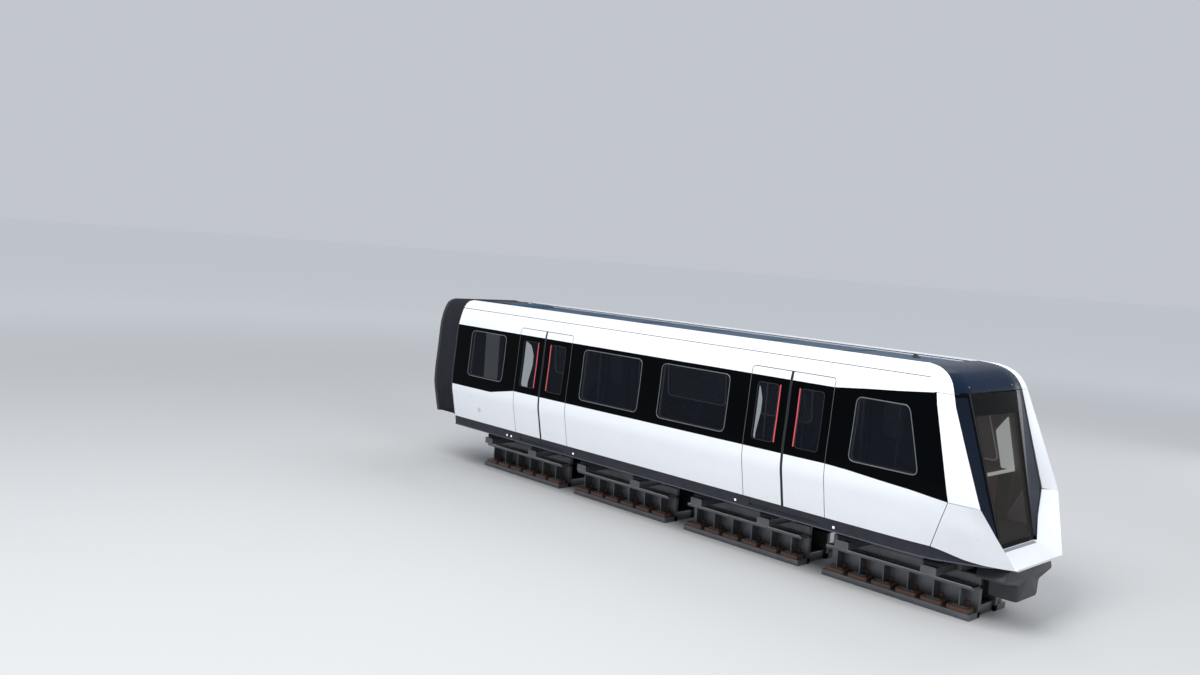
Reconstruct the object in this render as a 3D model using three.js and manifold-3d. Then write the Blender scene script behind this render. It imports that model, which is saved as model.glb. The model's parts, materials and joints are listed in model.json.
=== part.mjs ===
// One car of a magnetic levitation train: nose at +X, left side at +Y, standing on its levitation frames.
// Millimetres, +Z up. Inside this file x is counted from the body's rear end face and z from the
// skirts' lower edge; the last lines move the finished car so that its origin is bottom centre.
import * as THREE from 'three';
import { mergeVertices } from 'three/addons/utils/BufferGeometryUtils.js';
import Module from 'manifold-3d';

const wasm = await Module();
wasm.setup();

// Driving dimensions of the car body
const GAP = 0.4;                 // between pieces that touch
const WALL = 70;                 // side walls, doors and roof
const GLASS = 24;                // bonded panes
const SKIRT_BOTTOM = 0;
const SILL = 188;                // lower edge of the side walls and doors
const FLOOR_BOTTOM = 270;
const FLOOR_TOP = 330;
const CEILING = 2560;
const DECK_TOP = 2600;
const ROOF_TOP = 2645;
const DECK_HALF_WIDTH = 790;
const CAP_REAR = 10480;
const NOSE_START = 10300;
const NOSE_TIP = 12000;
const AHEAD = 12100;             // cutting solids reach this far ahead of the nose
const BESIDE = 1400;             // and this far to the sides

// Outline of the body in plan at rising heights. side: half width of the straight part; then x and y
// of the nose's corners, from the flank round to the front: shoulder, crease, reveal and pane.
// Columns: z, side, shoulder x y, crease x y, reveal x y, pane x y
const LEVELS = [
  [72, 1104, 11480, 985, 12000, 745, 11996, 640, 11992, 520],
  [188, 1122, 11450, 1030, 11950, 816, 11789, 576, 11770, 520],
  [235, 1132, 11440, 1047, 11930, 843, 11705, 550, 11675, 519],
  [530, 1192, 11400, 1155, 11802, 1021, 11570, 829, 11592, 550],
  [870, 1250, 11330, 1243, 11660, 1220, 11455, 1150, 11497, 585],
  [1007, 1250, 11280, 1244, 11604, 1219, 11416, 1140, 11459, 600],
  [1600, 1209, 11100, 1206, 11363, 1190, 11245, 1098, 11293, 662],
  [2132, 1172, 10950, 1168, 11147, 1155, 11093, 1060, 11144, 717],
  [2290, 1135, 10900, 1131, 11094, 1125, 11048, 1045, 11100, 734],
  [2450, 1078, 10830, 1076, 11015, 1070, 10965, 1000, 11000, 715],
  [2560, 1015, 10720, 1013, 10895, 1008, 10840, 935, 10865, 680],
  [2620, 930, 10600, 929, 10740, 925, 10680, 850, 10700, 640],
  [2645, 830, 10430, 829, 10520, 826, 10490, 760, 10495, 600],
].map(([z, side, ...nose]) => ({
  z,
  side,
  shoulder: nose.slice(0, 2),
  crease: nose.slice(2, 4),
  reveal: nose.slice(4, 6),
  pane: nose.slice(6),
}));
const CHIN = LEVELS[0].z;        // lowest point of the nose

// Side doors: x of the leaves' outer edges and of their meeting line
const DOORS = [
  { name: 'rear', from: 2042, middle: 2806, to: 3565 },
  { name: 'front', from: 7750, middle: 8508, to: 9273 },
];
const DOOR_TOP = 2263;
const DOOR_PANE = { outer: 150, inner: 205, bottom: 1140, top: 2030, radius: 50 };   // margins, heights

// Side windows: x of their lower and upper corners
const WINDOWS = [
  { name: 'rear', lower: [490, 1640], upper: [490, 1640] },
  { name: 'middle_rear', lower: [3910, 5405], upper: [3910, 5405] },
  { name: 'middle_front', lower: [5860, 7355], upper: [5860, 7355] },
  { name: 'front', lower: [9640, 10760], upper: [9660, 10500] },
];
const WINDOW_BOTTOM = 1120;
const WINDOW_TOP = 2060;
const WINDOW_RADIUS = 90;

// Nose joints in side view
const SEAM_FOOT = 10948;         // slanted seam at the sill
const SEAM_LEAN = 75;            // how much further back it would be at the skirts' lower edge
const SEAM_HEAD = 11215;         // and where it meets the level joint
const LEVEL_JOINT = 866;
const PILLAR_TOP = 2290;
const PILLAR_TOP_X = 10837;      // front edge of the window band at the pillar's top
const CHIN_LINE = [[SEAM_FOOT, SILL], [11116, 165], [11373, 110], [11607, 84], [11900, CHIN], [AHEAD, CHIN]];

// Gangway at the rear end
const REAR_WALL = 60;
const PASSAGE_HALF_WIDTH = 480;
const PASSAGE_TOP = 2280;
const CAR_FRAME_DEPTH = 60;
const BELLOWS_END = -600;
const OUTER_FRAME_END = -690;
const PLEATS = 9;
const PIVOT_X = -345;
const COUPLING = {
  eye: 110, halfWidth: 90, tongueLow: 60, tongueHigh: 110, yokeLow: 20, yokeHigh: 150,
  forkRoot: -480, forkEnd: -655, plateFront: -640, plateHalfWidth: 300, plateBottom: -40,
};
const THRESHOLD = { end: -520, halfWidth: 430, bottom: 300 };
const INSETS = { frame: 15, crest: 25, valley: 65, bellowsInside: 92 };   // from the body's outline

// Levitation frames under the floor
const STAND = -850;              // what the car stands on
const UNDERFRAME = {
  bottom: 20, halfWidth: 980, front: 10900, noseHalfWidth: 500, noseFront: 11500, tongueEnd: 200,
};
const JACKING = { stations: [3025, 8725], y: 860, half: 90, bottom: -10 };   // pads for workshop jacks
const FRAME_CENTRES = [1600, 4450, 7300, 10150];
const FRAME_HALF_LENGTH = 1200;
const MAGNETS_PER_SIDE = 6;
// Half widths and heights of a levitation frame's members
const LEV = {
  ringRadius: 300, ringBottom: -130,
  spine: { halfLength: 900, halfWidth: 300, bottom: -270, top: -120 },
  crossBeam: { at: 700, halfWidth: 120, halfLength: 880, bottom: -270, top: -150 },
  spring: { y: 700, radius: 165, bottom: -160, top: 12, sides: 16 },
  endBeam: { at: 1100, halfWidth: 60, halfLength: 260, top: -700 },
  web: { inner: 230, outer: 300, top: -250 },
  flange: { outer: 560, top: -760 },
  skid: { outer: 520, bottom: -430, top: -370 },
  magnet: { inner: 330, outer: 540, bottom: -770, top: -690, space: 60 },
};
// Front deflector that clears the way between the beams: outline [y, z] of its left half
const DEFLECTOR = {
  rear: 11470, front: 11880, outline: [[690, 19.6], [790, -140], [340, -240], [320, -480]],
};
// Skirts: half widths at their lower edge, at the chin's height and at the sill
const SKIRT = { thickness: 40, lowerSide: 1092, middleSide: 1101, upperSide: 1116, front: 11760, inset: 12 };
const SKIRT_TAPER = { from: 10950, to: 12200, rise: 95 };   // the lower edge rises under the nose
const LAMPS = { stations: [1752], fromDoorMiddle: 920, z: 75, radius: 25, proud: 6, sides: 16 };
// Low unit over the rear end with a sloping front, and the antenna near the nose
const ROOF_UNIT = { rear: 90, slope: 900, front: 1000, halfWidth: 550, height: 50, lip: 12 };
const ANTENNA = { x: 9700, y: 300, halfLength: 60, halfWidth: 35, height: 48 };

// Front exit door in the windscreen, hung on its right edge
const DOOR_CLEARANCE = 12;
const GLASS_FOOT = 240;
const EXIT_BOTTOM = 250;
const EXIT_TOP = 2276;
const EXIT_THICKNESS = 40;
const POST_WIDTH = 55;
const POST_DEPTH = 90;
const NOSE_SPAN = [10600, AHEAD];   // x span of the prisms that cut the windscreen
const PIN = { radius: 9, sides: 12, reachDown: 7.2, reachUp: 11.4 };   // reach past the door's ends

const STEEL = { color: 0x3b3f46, roughness: 0.6, metalness: 0.7 };
const WHITE = { color: 0xe6eaf0, roughness: 0.35, metalness: 0.0 };
const SLATE = { color: 0x3a4055, roughness: 0.5, metalness: 0.0 };
const NAVY = { color: 0x141d33, roughness: 0.15, metalness: 0.0 };
const TINTED = { color: 0x10151c, roughness: 0.08, metalness: 0.0 };
const RUBBER = { color: 0x2e3038, roughness: 0.9, metalness: 0.0 };
const DECK = { color: 0x7d8896, roughness: 0.7, metalness: 0.0 };
const FLOORING = { color: 0x5c6168, roughness: 0.85, metalness: 0.0 };
const SEAT = { color: 0x6b2a2c, roughness: 0.9, metalness: 0.0 };
const GRAB = { color: 0xc2c5c9, roughness: 0.25, metalness: 1.0 };

const car = new THREE.Group();

// Solids from three.js geometry, and back
function solid(geometry) {
  geometry.deleteAttribute('normal');
  geometry.deleteAttribute('uv');
  const merged = mergeVertices(geometry, 1e-3);
  return new wasm.Manifold(new wasm.Mesh({
    numProp: 3,
    vertProperties: new Float32Array(merged.attributes.position.array),
    triVerts: new Uint32Array(merged.index.array),
  }));
}

function add(name, body, finish) {
  const mesh = body.getMesh();
  const geometry = new THREE.BufferGeometry();
  geometry.setAttribute('position', new THREE.BufferAttribute(mesh.vertProperties, 3));
  geometry.setIndex(new THREE.BufferAttribute(mesh.triVerts, 1));
  const node = new THREE.Mesh(geometry, new THREE.MeshStandardMaterial(finish));
  node.name = name;
  car.add(node);
}

function box(x0, x1, y0, y1, z0, z1) {
  const geometry = new THREE.BoxGeometry(x1 - x0, y1 - y0, z1 - z0);
  geometry.translate((x0 + x1) / 2, (y0 + y1) / 2, (z0 + z1) / 2);
  return solid(geometry);
}

function disc(x, y, radius, z0, z1, sides = 24) {
  const geometry = new THREE.CylinderGeometry(radius, radius, z1 - z0, sides);
  geometry.rotateX(Math.PI / 2);
  geometry.translate(x, y, (z0 + z1) / 2);
  return solid(geometry);
}

function union(parts) {
  return parts.reduce((whole, part) => whole.add(part));
}

function extrude(points, depth) {
  const shape = new THREE.Shape(points.map(([a, b]) => new THREE.Vector2(a, b)));
  return new THREE.ExtrudeGeometry(shape, { depth, bevelEnabled: false });
}

// Turns an outline's own x, y and depth into the car's y, z and x
const NOSEWARDS = new THREE.Matrix4().makeBasis(
  new THREE.Vector3(0, 1, 0), new THREE.Vector3(0, 0, 1), new THREE.Vector3(1, 0, 0));

// A side view outline [x, z], from y0 to y1
function sidePrism(points, y0, y1) {
  const geometry = extrude(points, y1 - y0);
  geometry.rotateX(Math.PI / 2);
  geometry.translate(0, y1, 0);
  return solid(geometry);
}

// A front view outline [y, z], from x0 to x1
function frontPrism(points, x0, x1) {
  const geometry = extrude(points, x1 - x0);
  geometry.applyMatrix4(NOSEWARDS);
  geometry.translate(x0, 0, 0);
  return solid(geometry);
}

// An outline with its corners rounded off in three short steps
function rounded(corners, radius) {
  const steps = 3;
  const points = [];
  corners.forEach(([x, y], i) => {
    const here = new THREE.Vector2(x, y);
    const before = new THREE.Vector2(...corners[(i + corners.length - 1) % corners.length]);
    const after = new THREE.Vector2(...corners[(i + 1) % corners.length]);
    const start = here.clone().add(before.sub(here).setLength(radius));
    const end = here.clone().add(after.sub(here).setLength(radius));
    const curve = new THREE.QuadraticBezierCurve(start, here, end);
    curve.getPoints(steps).forEach((p) => points.push([p.x, p.y]));
  });
  return points;
}

// An outline moved outwards from its middle by a small distance
function grown(points, by) {
  const count = points.length;
  const [middleX, middleY] = points.reduce((sum, [x, y]) => [sum[0] + x / count, sum[1] + y / count], [0, 0]);
  return points.map(([x, y]) => [x + by * Math.sign(x - middleX), y + by * Math.sign(y - middleY)]);
}

// A stack of rings of points [x, y, z] with equal counts, lowest first, closed at the bottom and top
function stack(rings) {
  const count = rings[0].length;
  const index = [];
  for (let r = 0; r + 1 < rings.length; r += 1) {
    for (let i = 0; i < count; i += 1) {
      const a = r * count + i;
      const b = r * count + (i + 1) % count;
      index.push(a, b, b + count, a, b + count, a + count);
    }
  }
  const lid = (ring) => THREE.ShapeUtils.triangulateShape(
    ring.map(([x, y]) => new THREE.Vector2(x, y)), []);
  lid(rings[0]).forEach(([a, b, c]) => index.push(c, b, a));
  const top = count * (rings.length - 1);
  lid(rings[rings.length - 1]).forEach(([a, b, c]) => index.push(top + a, top + b, top + c));
  const geometry = new THREE.BufferGeometry();
  geometry.setAttribute('position', new THREE.Float32BufferAttribute(rings.flat(2), 3));
  geometry.setIndex(index);
  return solid(geometry);
}

function levelAt(z) {
  const upper = Math.max(1, LEVELS.findIndex((row) => row.z >= z));
  const [low, high] = [LEVELS[upper - 1], LEVELS[upper]];
  const share = (z - low.z) / (high.z - low.z);
  const mix = (a, b) => a + (b - a) * share;
  const point = (key) => [mix(low[key][0], high[key][0]), mix(low[key][1], high[key][1])];
  return {
    z,
    side: mix(low.side, high.side),
    shoulder: point('shoulder'),
    crease: point('crease'),
    reveal: point('reveal'),
    pane: point('pane'),
  };
}

// The ring of one level: right flank, nose, left flank. inset is the wall taken off inside.
function bodyRing(level, rearX, inset) {
  const { z, side, shoulder, crease, reveal, pane } = level;
  const inner = inset > 0;
  const cheek = Math.max(Math.min(crease[1], shoulder[1]) - inset - 10, reveal[1] - inset / 2 + 5);
  const half = [
    [rearX, side - inset],
    [NOSE_START, side - inset],
    [shoulder[0] - inset, shoulder[1] - inset],
    inner ? [reveal[0] - inset, cheek] : crease,
    [reveal[0] - inset, reveal[1] - (inner ? inset / 2 : 0)],
    [pane[0] - inset, pane[1] - (inner ? inset / 4 : 0)],
  ];
  const right = half.map(([x, y]) => [x, -y, z]);
  const left = half.map(([x, y]) => [x, y, z]).reverse();
  return [...right, ...left];
}

const outer = stack(LEVELS.map((level) => bodyRing(level, 0, 0)));
const innerHeights = [20, ...LEVELS.map((row) => row.z).filter((z) => z > 72 && z < CEILING), CEILING];

function hollow(inset, rearX = -20) {
  return stack(innerHeights.map((z) => bodyRing(levelAt(z), rearX, inset)));
}

const shell = outer.subtract(hollow(WALL))
  .subtract(sidePrism([[-50, -50], [-50, SILL], ...CHIN_LINE, [AHEAD, -50]], -BESIDE, BESIDE));
const glassSkin = outer.subtract(hollow(GLASS));
const fill = hollow(WALL + GAP, 5);
const doorOutline = (from, to, by) => rounded(
  [[from - by, SILL - 60], [to + by, SILL - 60], [to + by, DOOR_TOP + by], [from - by, DOOR_TOP + by]], 60);
const windowOutline = ({ lower, upper }) => rounded(
  [[lower[0], WINDOW_BOTTOM], [lower[1], WINDOW_BOTTOM], [upper[1], WINDOW_TOP], [upper[0], WINDOW_TOP]],
  WINDOW_RADIUS);
const bothSides = { right: [-BESIDE, -100], left: [100, BESIDE] };

// Regions of the nose
function glassHeights(low, high) {
  const between = LEVELS.map((row) => row.z).filter((z) => z > low && z < high);
  return [low, ...between, high];
}
function acrossNose(key, by, low, high) {
  const edge = glassHeights(low, high).map((z) => [levelAt(z)[key][1] + by, z]);
  return [...edge, ...edge.slice().reverse().map(([y, z]) => [-y, z])];
}
const windscreenOutline = acrossNose('reveal', 0, GLASS_FOOT, PILLAR_TOP);
const windscreenHole = frontPrism(windscreenOutline, ...NOSE_SPAN);
const noseLowerRegion = [[SEAM_FOOT - SEAM_LEAN, 0], [SEAM_FOOT, SILL], [SEAM_HEAD, LEVEL_JOINT],
  [AHEAD, LEVEL_JOINT], [AHEAD, 0]];
const pillarRegion = [[SEAM_HEAD, LEVEL_JOINT + GAP], [AHEAD, LEVEL_JOINT + GAP], [AHEAD, PILLAR_TOP],
  [PILLAR_TOP_X, PILLAR_TOP]];
const capOutline = (by) => [
  [-1045 - by, PILLAR_TOP + GAP - by], [1045 + by, PILLAR_TOP + GAP - by], [1000 + by, 2450],
  [935 + by, 2560], [850 + by, 2620], [DECK_HALF_WIDTH + by, 2700], [-DECK_HALF_WIDTH - by, 2700],
  [-850 - by, 2620], [-935 - by, 2560], [-1000 - by, 2450],
];

// Side walls with their doorways and windows
const noseLower = shell.intersect(sidePrism(noseLowerRegion, -BESIDE, BESIDE)).subtract(windscreenHole);
const pillars = shell.intersect(sidePrism(pillarRegion, -BESIDE, BESIDE)).subtract(windscreenHole);
const noseCut = sidePrism([[SEAM_FOOT - SEAM_LEAN - GAP, -50], [SEAM_FOOT - GAP, SILL],
  [SEAM_HEAD - GAP, LEVEL_JOINT], [PILLAR_TOP_X - GAP, PILLAR_TOP + GAP], [AHEAD, PILLAR_TOP + GAP],
  [AHEAD, -50]], -BESIDE, BESIDE);
const capCut = frontPrism(capOutline(GAP), CAP_REAR - GAP, AHEAD);
const deckCut = box(-20, CAP_REAR + 1, -DECK_HALF_WIDTH, DECK_HALF_WIDTH, CEILING - 40, 2700);
for (const [side, [y0, y1]] of Object.entries(bothSides)) {
  let wall = shell.intersect(box(-10, AHEAD, y0, y1, 0, 2700))
    .subtract(noseCut)
    .subtract(capCut)
    .subtract(deckCut);
  for (const door of DOORS) {
    wall = wall.subtract(sidePrism(doorOutline(door.from, door.to, GAP), y0, y1));
  }
  for (const window of WINDOWS) {
    wall = wall.subtract(sidePrism(windowOutline(window), y0, y1));
  }
  add(`side_wall_${side}`, wall, WHITE);
  for (const window of WINDOWS) {
    const pane = glassSkin.intersect(sidePrism(grown(windowOutline(window), -GAP), y0, y1));
    add(`window_${window.name}_${side}`, pane, TINTED);
  }
  for (const door of DOORS) {
    const leaves = [
      { name: 'rear', from: door.from, to: door.middle - GAP, panes: [DOOR_PANE.outer, DOOR_PANE.inner] },
      { name: 'front', from: door.middle, to: door.to, panes: [DOOR_PANE.inner, DOOR_PANE.outer] },
    ];
    const opening = sidePrism(doorOutline(door.from, door.to, 0), y0, y1);
    for (const leaf of leaves) {
      const paneFrom = (leaf.name === 'rear' ? door.from : door.middle) + leaf.panes[0];
      const paneTo = (leaf.name === 'rear' ? door.middle : door.to) - leaf.panes[1];
      const paneShape = rounded([[paneFrom, DOOR_PANE.bottom], [paneTo, DOOR_PANE.bottom],
        [paneTo, DOOR_PANE.top], [paneFrom, DOOR_PANE.top]], DOOR_PANE.radius);
      const body = shell.intersect(opening)
        .intersect(box(leaf.from, leaf.to, y0, y1, 0, 2700))
        .subtract(sidePrism(paneShape, y0, y1));
      add(`door_${door.name}_${side}_${leaf.name}_leaf`, body, WHITE);
      const pane = glassSkin.intersect(sidePrism(grown(paneShape, -GAP), y0, y1));
      add(`door_${door.name}_${side}_${leaf.name}_pane`, pane, TINTED);
    }
  }
  add(`nose_pillar_${side}`, pillars.intersect(box(10000, AHEAD, y0, y1, 0, 2700)), WHITE);
}
add('nose_lower_panel', noseLower, WHITE);

// Roof
add('roof_cap', shell.intersect(frontPrism(capOutline(0), CAP_REAR, AHEAD)), NAVY);
add('roof_deck', box(REAR_WALL, CAP_REAR - GAP, GAP - DECK_HALF_WIDTH, DECK_HALF_WIDTH - GAP,
  CEILING, DECK_TOP), DECK);

// Windscreen: a middle pane that is the front exit, and a fixed pane and post on each side
const frontPanes = outer.subtract(outer.translate(-GLASS, 0, 0))
  .intersect(frontPrism(grown(windscreenOutline, -GAP), ...NOSE_SPAN));
const hingeAt = (z) => new THREE.Vector3(levelAt(z).pane[0], DOOR_CLEARANCE - levelAt(z).pane[1], z);
const hingeFoot = hingeAt(EXIT_BOTTOM);
const hingeHead = hingeAt(EXIT_TOP);
function hingePin() {
  const along = hingeHead.clone().sub(hingeFoot).normalize();
  const foot = hingeFoot.clone().addScaledVector(along, -PIN.reachDown);
  const head = hingeHead.clone().addScaledVector(along, PIN.reachUp);
  const geometry = new THREE.CylinderGeometry(PIN.radius, PIN.radius, foot.distanceTo(head), PIN.sides);
  geometry.applyQuaternion(new THREE.Quaternion().setFromUnitVectors(new THREE.Vector3(0, 1, 0), along));
  const middle = foot.clone().add(head).multiplyScalar(0.5);
  geometry.translate(middle.x, middle.y, middle.z);
  return solid(geometry);
}
const exitDoor = outer.subtract(outer.translate(-EXIT_THICKNESS, 0, 0))
  .intersect(frontPrism(acrossNose('pane', -DOOR_CLEARANCE, EXIT_BOTTOM, EXIT_TOP), ...NOSE_SPAN));
add('front_exit_door', exitDoor.add(hingePin()), TINTED);
const exitWay = frontPrism(acrossNose('pane', 0, GLASS_FOOT, PILLAR_TOP), ...NOSE_SPAN);
const postSkin = outer.translate(-GLASS - GAP, 0, 0).subtract(outer.translate(-POST_DEPTH, 0, 0));
for (const [side, [y0, y1]] of Object.entries(bothSides)) {
  const half = box(10600, AHEAD, y0, y1, 0, 2700);
  add(`windscreen_${side}`, frontPanes.subtract(exitWay).intersect(half), TINTED);
  const post = postSkin
    .intersect(frontPrism(acrossNose('pane', POST_WIDTH, FLOOR_TOP + GAP, PILLAR_TOP - GAP), ...NOSE_SPAN))
    .subtract(exitWay);
  add(`windscreen_post_${side}`, post.intersect(half), STEEL);
}

// Floor, underframe and rear end
const FLOOR_FRONT = 11580;
add('floor', fill.intersect(box(0, FLOOR_FRONT, -1300, 1300, FLOOR_BOTTOM + GAP, FLOOR_TOP)), FLOORING);
const centred = (x0, x1, halfWidth, z0, z1) => box(x0, x1, -halfWidth, halfWidth, z0, z1);
const jackingPad = (x, y) => box(x - JACKING.half, x + JACKING.half, y - JACKING.half, y + JACKING.half,
  JACKING.bottom, UNDERFRAME.bottom + 1);
const underframe = union([
  centred(REAR_WALL, UNDERFRAME.front, UNDERFRAME.halfWidth, UNDERFRAME.bottom, FLOOR_BOTTOM),
  centred(UNDERFRAME.front - 100, UNDERFRAME.noseFront, UNDERFRAME.noseHalfWidth,
    UNDERFRAME.bottom, FLOOR_BOTTOM),
  centred(PIVOT_X, UNDERFRAME.tongueEnd, COUPLING.halfWidth, COUPLING.tongueLow, COUPLING.tongueHigh),
  disc(PIVOT_X, 0, COUPLING.eye, COUPLING.tongueLow, COUPLING.tongueHigh),
  ...JACKING.stations.flatMap((x) => [jackingPad(x, -JACKING.y), jackingPad(x, JACKING.y)]),
]);
add('underframe', underframe, STEEL);
const passage = (x0, x1) => box(x0, x1, -PASSAGE_HALF_WIDTH, PASSAGE_HALF_WIDTH, FLOOR_TOP, PASSAGE_TOP);
add('rear_end_wall', fill.intersect(box(0, REAR_WALL - GAP, -1300, 1300, FLOOR_TOP + GAP, 2700))
  .subtract(passage(-50, 100)), WHITE);

// Gangway: a frame on the car, the bellows, and the outer frame that the next car is fastened to
function profile(by) {
  const rows = LEVELS.filter((row) => row.z >= SILL && row.z !== 235);
  const half = rows.map(({ z, side }) => {
    const arch = Math.max(0, (z - PILLAR_TOP) / (ROOF_TOP - PILLAR_TOP));
    return [side - by, Math.max(z - by * arch, SILL + by)];
  });
  return [...half, ...half.slice().reverse().map(([y, z]) => [-y, z])];
}
const threshold = box(THRESHOLD.end, -CAR_FRAME_DEPTH + 1, -THRESHOLD.halfWidth, THRESHOLD.halfWidth,
  THRESHOLD.bottom, FLOOR_TOP);
add('gangway_car_frame', frontPrism(profile(INSETS.frame), -CAR_FRAME_DEPTH, -GAP)
  .subtract(passage(-100, 10)).add(threshold), STEEL);
add('gangway_outer_frame', frontPrism(profile(INSETS.frame), OUTER_FRAME_END, BELLOWS_END)
  .subtract(passage(OUTER_FRAME_END - 10, BELLOWS_END + 10)), STEEL);
const bellowsStart = -CAR_FRAME_DEPTH - GAP;
const bellowsLength = bellowsStart - BELLOWS_END - GAP;
const bellowsRings = Array.from({ length: 2 * PLEATS + 1 }, (_, i) => {
  const x = bellowsStart - bellowsLength * i / (2 * PLEATS);
  return profile(i % 2 ? INSETS.valley : INSETS.crest).map(([y, z]) => [y, z, x]);
}).reverse();
const bellows = stack(bellowsRings).transform(NOSEWARDS.toArray())
  .subtract(frontPrism(profile(INSETS.bellowsInside), -700, 0));
add('gangway_bellows', bellows, RUBBER);
const lowPlate = [COUPLING.yokeLow, COUPLING.tongueLow - GAP];
const highPlate = [COUPLING.tongueHigh + GAP, COUPLING.yokeHigh];
const yoke = union([
  ...[lowPlate, highPlate].flatMap(([z0, z1]) => [
    disc(PIVOT_X, 0, COUPLING.eye, z0, z1),
    box(COUPLING.forkEnd, PIVOT_X, -COUPLING.halfWidth, COUPLING.halfWidth, z0, z1),
  ]),
  box(COUPLING.forkEnd, COUPLING.forkRoot, -COUPLING.halfWidth, COUPLING.halfWidth,
    COUPLING.yokeLow, COUPLING.yokeHigh),
  box(OUTER_FRAME_END, COUPLING.plateFront, -COUPLING.plateHalfWidth, COUPLING.plateHalfWidth,
    COUPLING.plateBottom, SILL + INSETS.frame - GAP),
]);
add('coupling_yoke', yoke, STEEL);

// Skirts, tapering out under the nose, with their small round lamps
function skirtRing(z, side, inset) {
  const row = levelAt(Math.max(z, CHIN));
  const [shoulder, crease] = [row.shoulder, row.crease].map(([x, y]) => [x - inset, y - SKIRT.inset - inset]);
  const half = [[-10, side - inset], [NOSE_START, side - inset], shoulder, crease];
  return [...half.map(([x, y]) => [x, -y, z]), ...half.slice().reverse().map(([x, y]) => [x, y, z])];
}
const skirtHeights = [[SKIRT_BOTTOM, SKIRT.lowerSide], [CHIN, SKIRT.middleSide],
  [SILL - GAP, SKIRT.upperSide]];
const skirtHollow = [[SKIRT_BOTTOM - 20, SKIRT.lowerSide], skirtHeights[1], [SILL + 20, SKIRT.upperSide]];
const aboveChin = [...CHIN_LINE.map(([x, z]) => [x, z - GAP]), [12200, 400], [SEAM_FOOT, 400]];
const belowTaper = [[SKIRT_TAPER.from, -20], [SKIRT_TAPER.to, -20], [SKIRT_TAPER.to, SKIRT_TAPER.rise],
  [SKIRT_TAPER.from, SKIRT_BOTTOM]];
const skirtBody = stack(skirtHeights.map(([z, side]) => skirtRing(z, side, 0)))
  .subtract(stack(skirtHollow.map(([z, side]) => skirtRing(z, side, SKIRT.thickness))))
  .subtract(sidePrism(aboveChin, -BESIDE, BESIDE))
  .subtract(sidePrism(belowTaper, -BESIDE, BESIDE));
const lampStations = [...LAMPS.stations,
  ...DOORS.flatMap(({ middle }) => [middle - LAMPS.fromDoorMiddle, middle + LAMPS.fromDoorMiddle])];
for (const [side, [y0, y1]] of Object.entries(bothSides)) {
  const face = Math.sign(y0) * SKIRT.middleSide;
  const lamps = lampStations.map((x) => {
    const geometry = new THREE.CylinderGeometry(LAMPS.radius, LAMPS.radius, 2 * LAMPS.proud, LAMPS.sides);
    return solid(geometry.translate(x, face, LAMPS.z));
  });
  const panel = skirtBody.intersect(box(0, SKIRT.front, y0, y1, -50, SILL));
  add(`skirt_${side}`, union([panel, ...lamps]), SLATE);
}

const deflectorOutline = [...DEFLECTOR.outline, ...DEFLECTOR.outline.map(([y, z]) => [-y, z]).reverse()];
add('front_deflector', frontPrism(deflectorOutline, DEFLECTOR.rear, DEFLECTOR.front), STEEL);

// Levitation frames: slewing ring, spine, cross beams with air springs, and on each side a web with
// its flange, skid and magnet row
FRAME_CENTRES.forEach((centre, i) => {
  const { spine, crossBeam, spring, endBeam, web, flange, skid, magnet } = LEV;
  const parts = [
    disc(centre, 0, LEV.ringRadius, LEV.ringBottom, UNDERFRAME.bottom - GAP),
    box(centre - spine.halfLength, centre + spine.halfLength, -spine.halfWidth, spine.halfWidth,
      spine.bottom, spine.top),
  ];
  for (const sign of [-1, 1]) {
    const crossAt = centre + sign * crossBeam.at;
    const endAt = centre + sign * endBeam.at;
    parts.push(box(crossAt - crossBeam.halfWidth, crossAt + crossBeam.halfWidth,
      -crossBeam.halfLength, crossBeam.halfLength, crossBeam.bottom, crossBeam.top));
    parts.push(box(endAt - endBeam.halfWidth, endAt + endBeam.halfWidth,
      -endBeam.halfLength, endBeam.halfLength, STAND, endBeam.top));
    for (const flank of [-1, 1]) {
      parts.push(disc(crossAt, flank * spring.y, spring.radius, spring.bottom, spring.top, spring.sides));
    }
    const across = (x0, x1, a, b, z0, z1) => box(x0, x1, Math.min(sign * a, sign * b),
      Math.max(sign * a, sign * b), z0, z1);
    const along = (a, b, z0, z1) => across(centre - FRAME_HALF_LENGTH, centre + FRAME_HALF_LENGTH,
      a, b, z0, z1);
    parts.push(along(web.inner, web.outer, STAND, web.top));
    parts.push(along(web.inner, flange.outer, STAND, flange.top));
    parts.push(along(web.inner, skid.outer, skid.bottom, skid.top));
    const pitch = 2 * FRAME_HALF_LENGTH / MAGNETS_PER_SIDE;
    for (let m = 0; m < MAGNETS_PER_SIDE; m += 1) {
      const start = centre - FRAME_HALF_LENGTH + m * pitch + magnet.space / 2;
      parts.push(across(start, start + pitch - magnet.space, magnet.inner, magnet.outer,
        magnet.bottom, magnet.top));
    }
  }
  add(`levitation_frame_${i + 1}`, union(parts), STEEL);
});

// Cabin: benches with their draught screens, and grab poles with a ceiling rail
const BENCHES = [
  { name: 'rear', from: 120, to: 1960, screens: ['front'] },
  { name: 'middle', from: 3640, to: 7670, screens: ['rear', 'front'] },
];
const BENCH = {
  wallSide: 1095, depth: 480, seatTop: 760, seatBottom: 640, backTop: 1100, backDepth: 70,
  legFrom: 80, legTo: 200, screen: 30,
};
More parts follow.
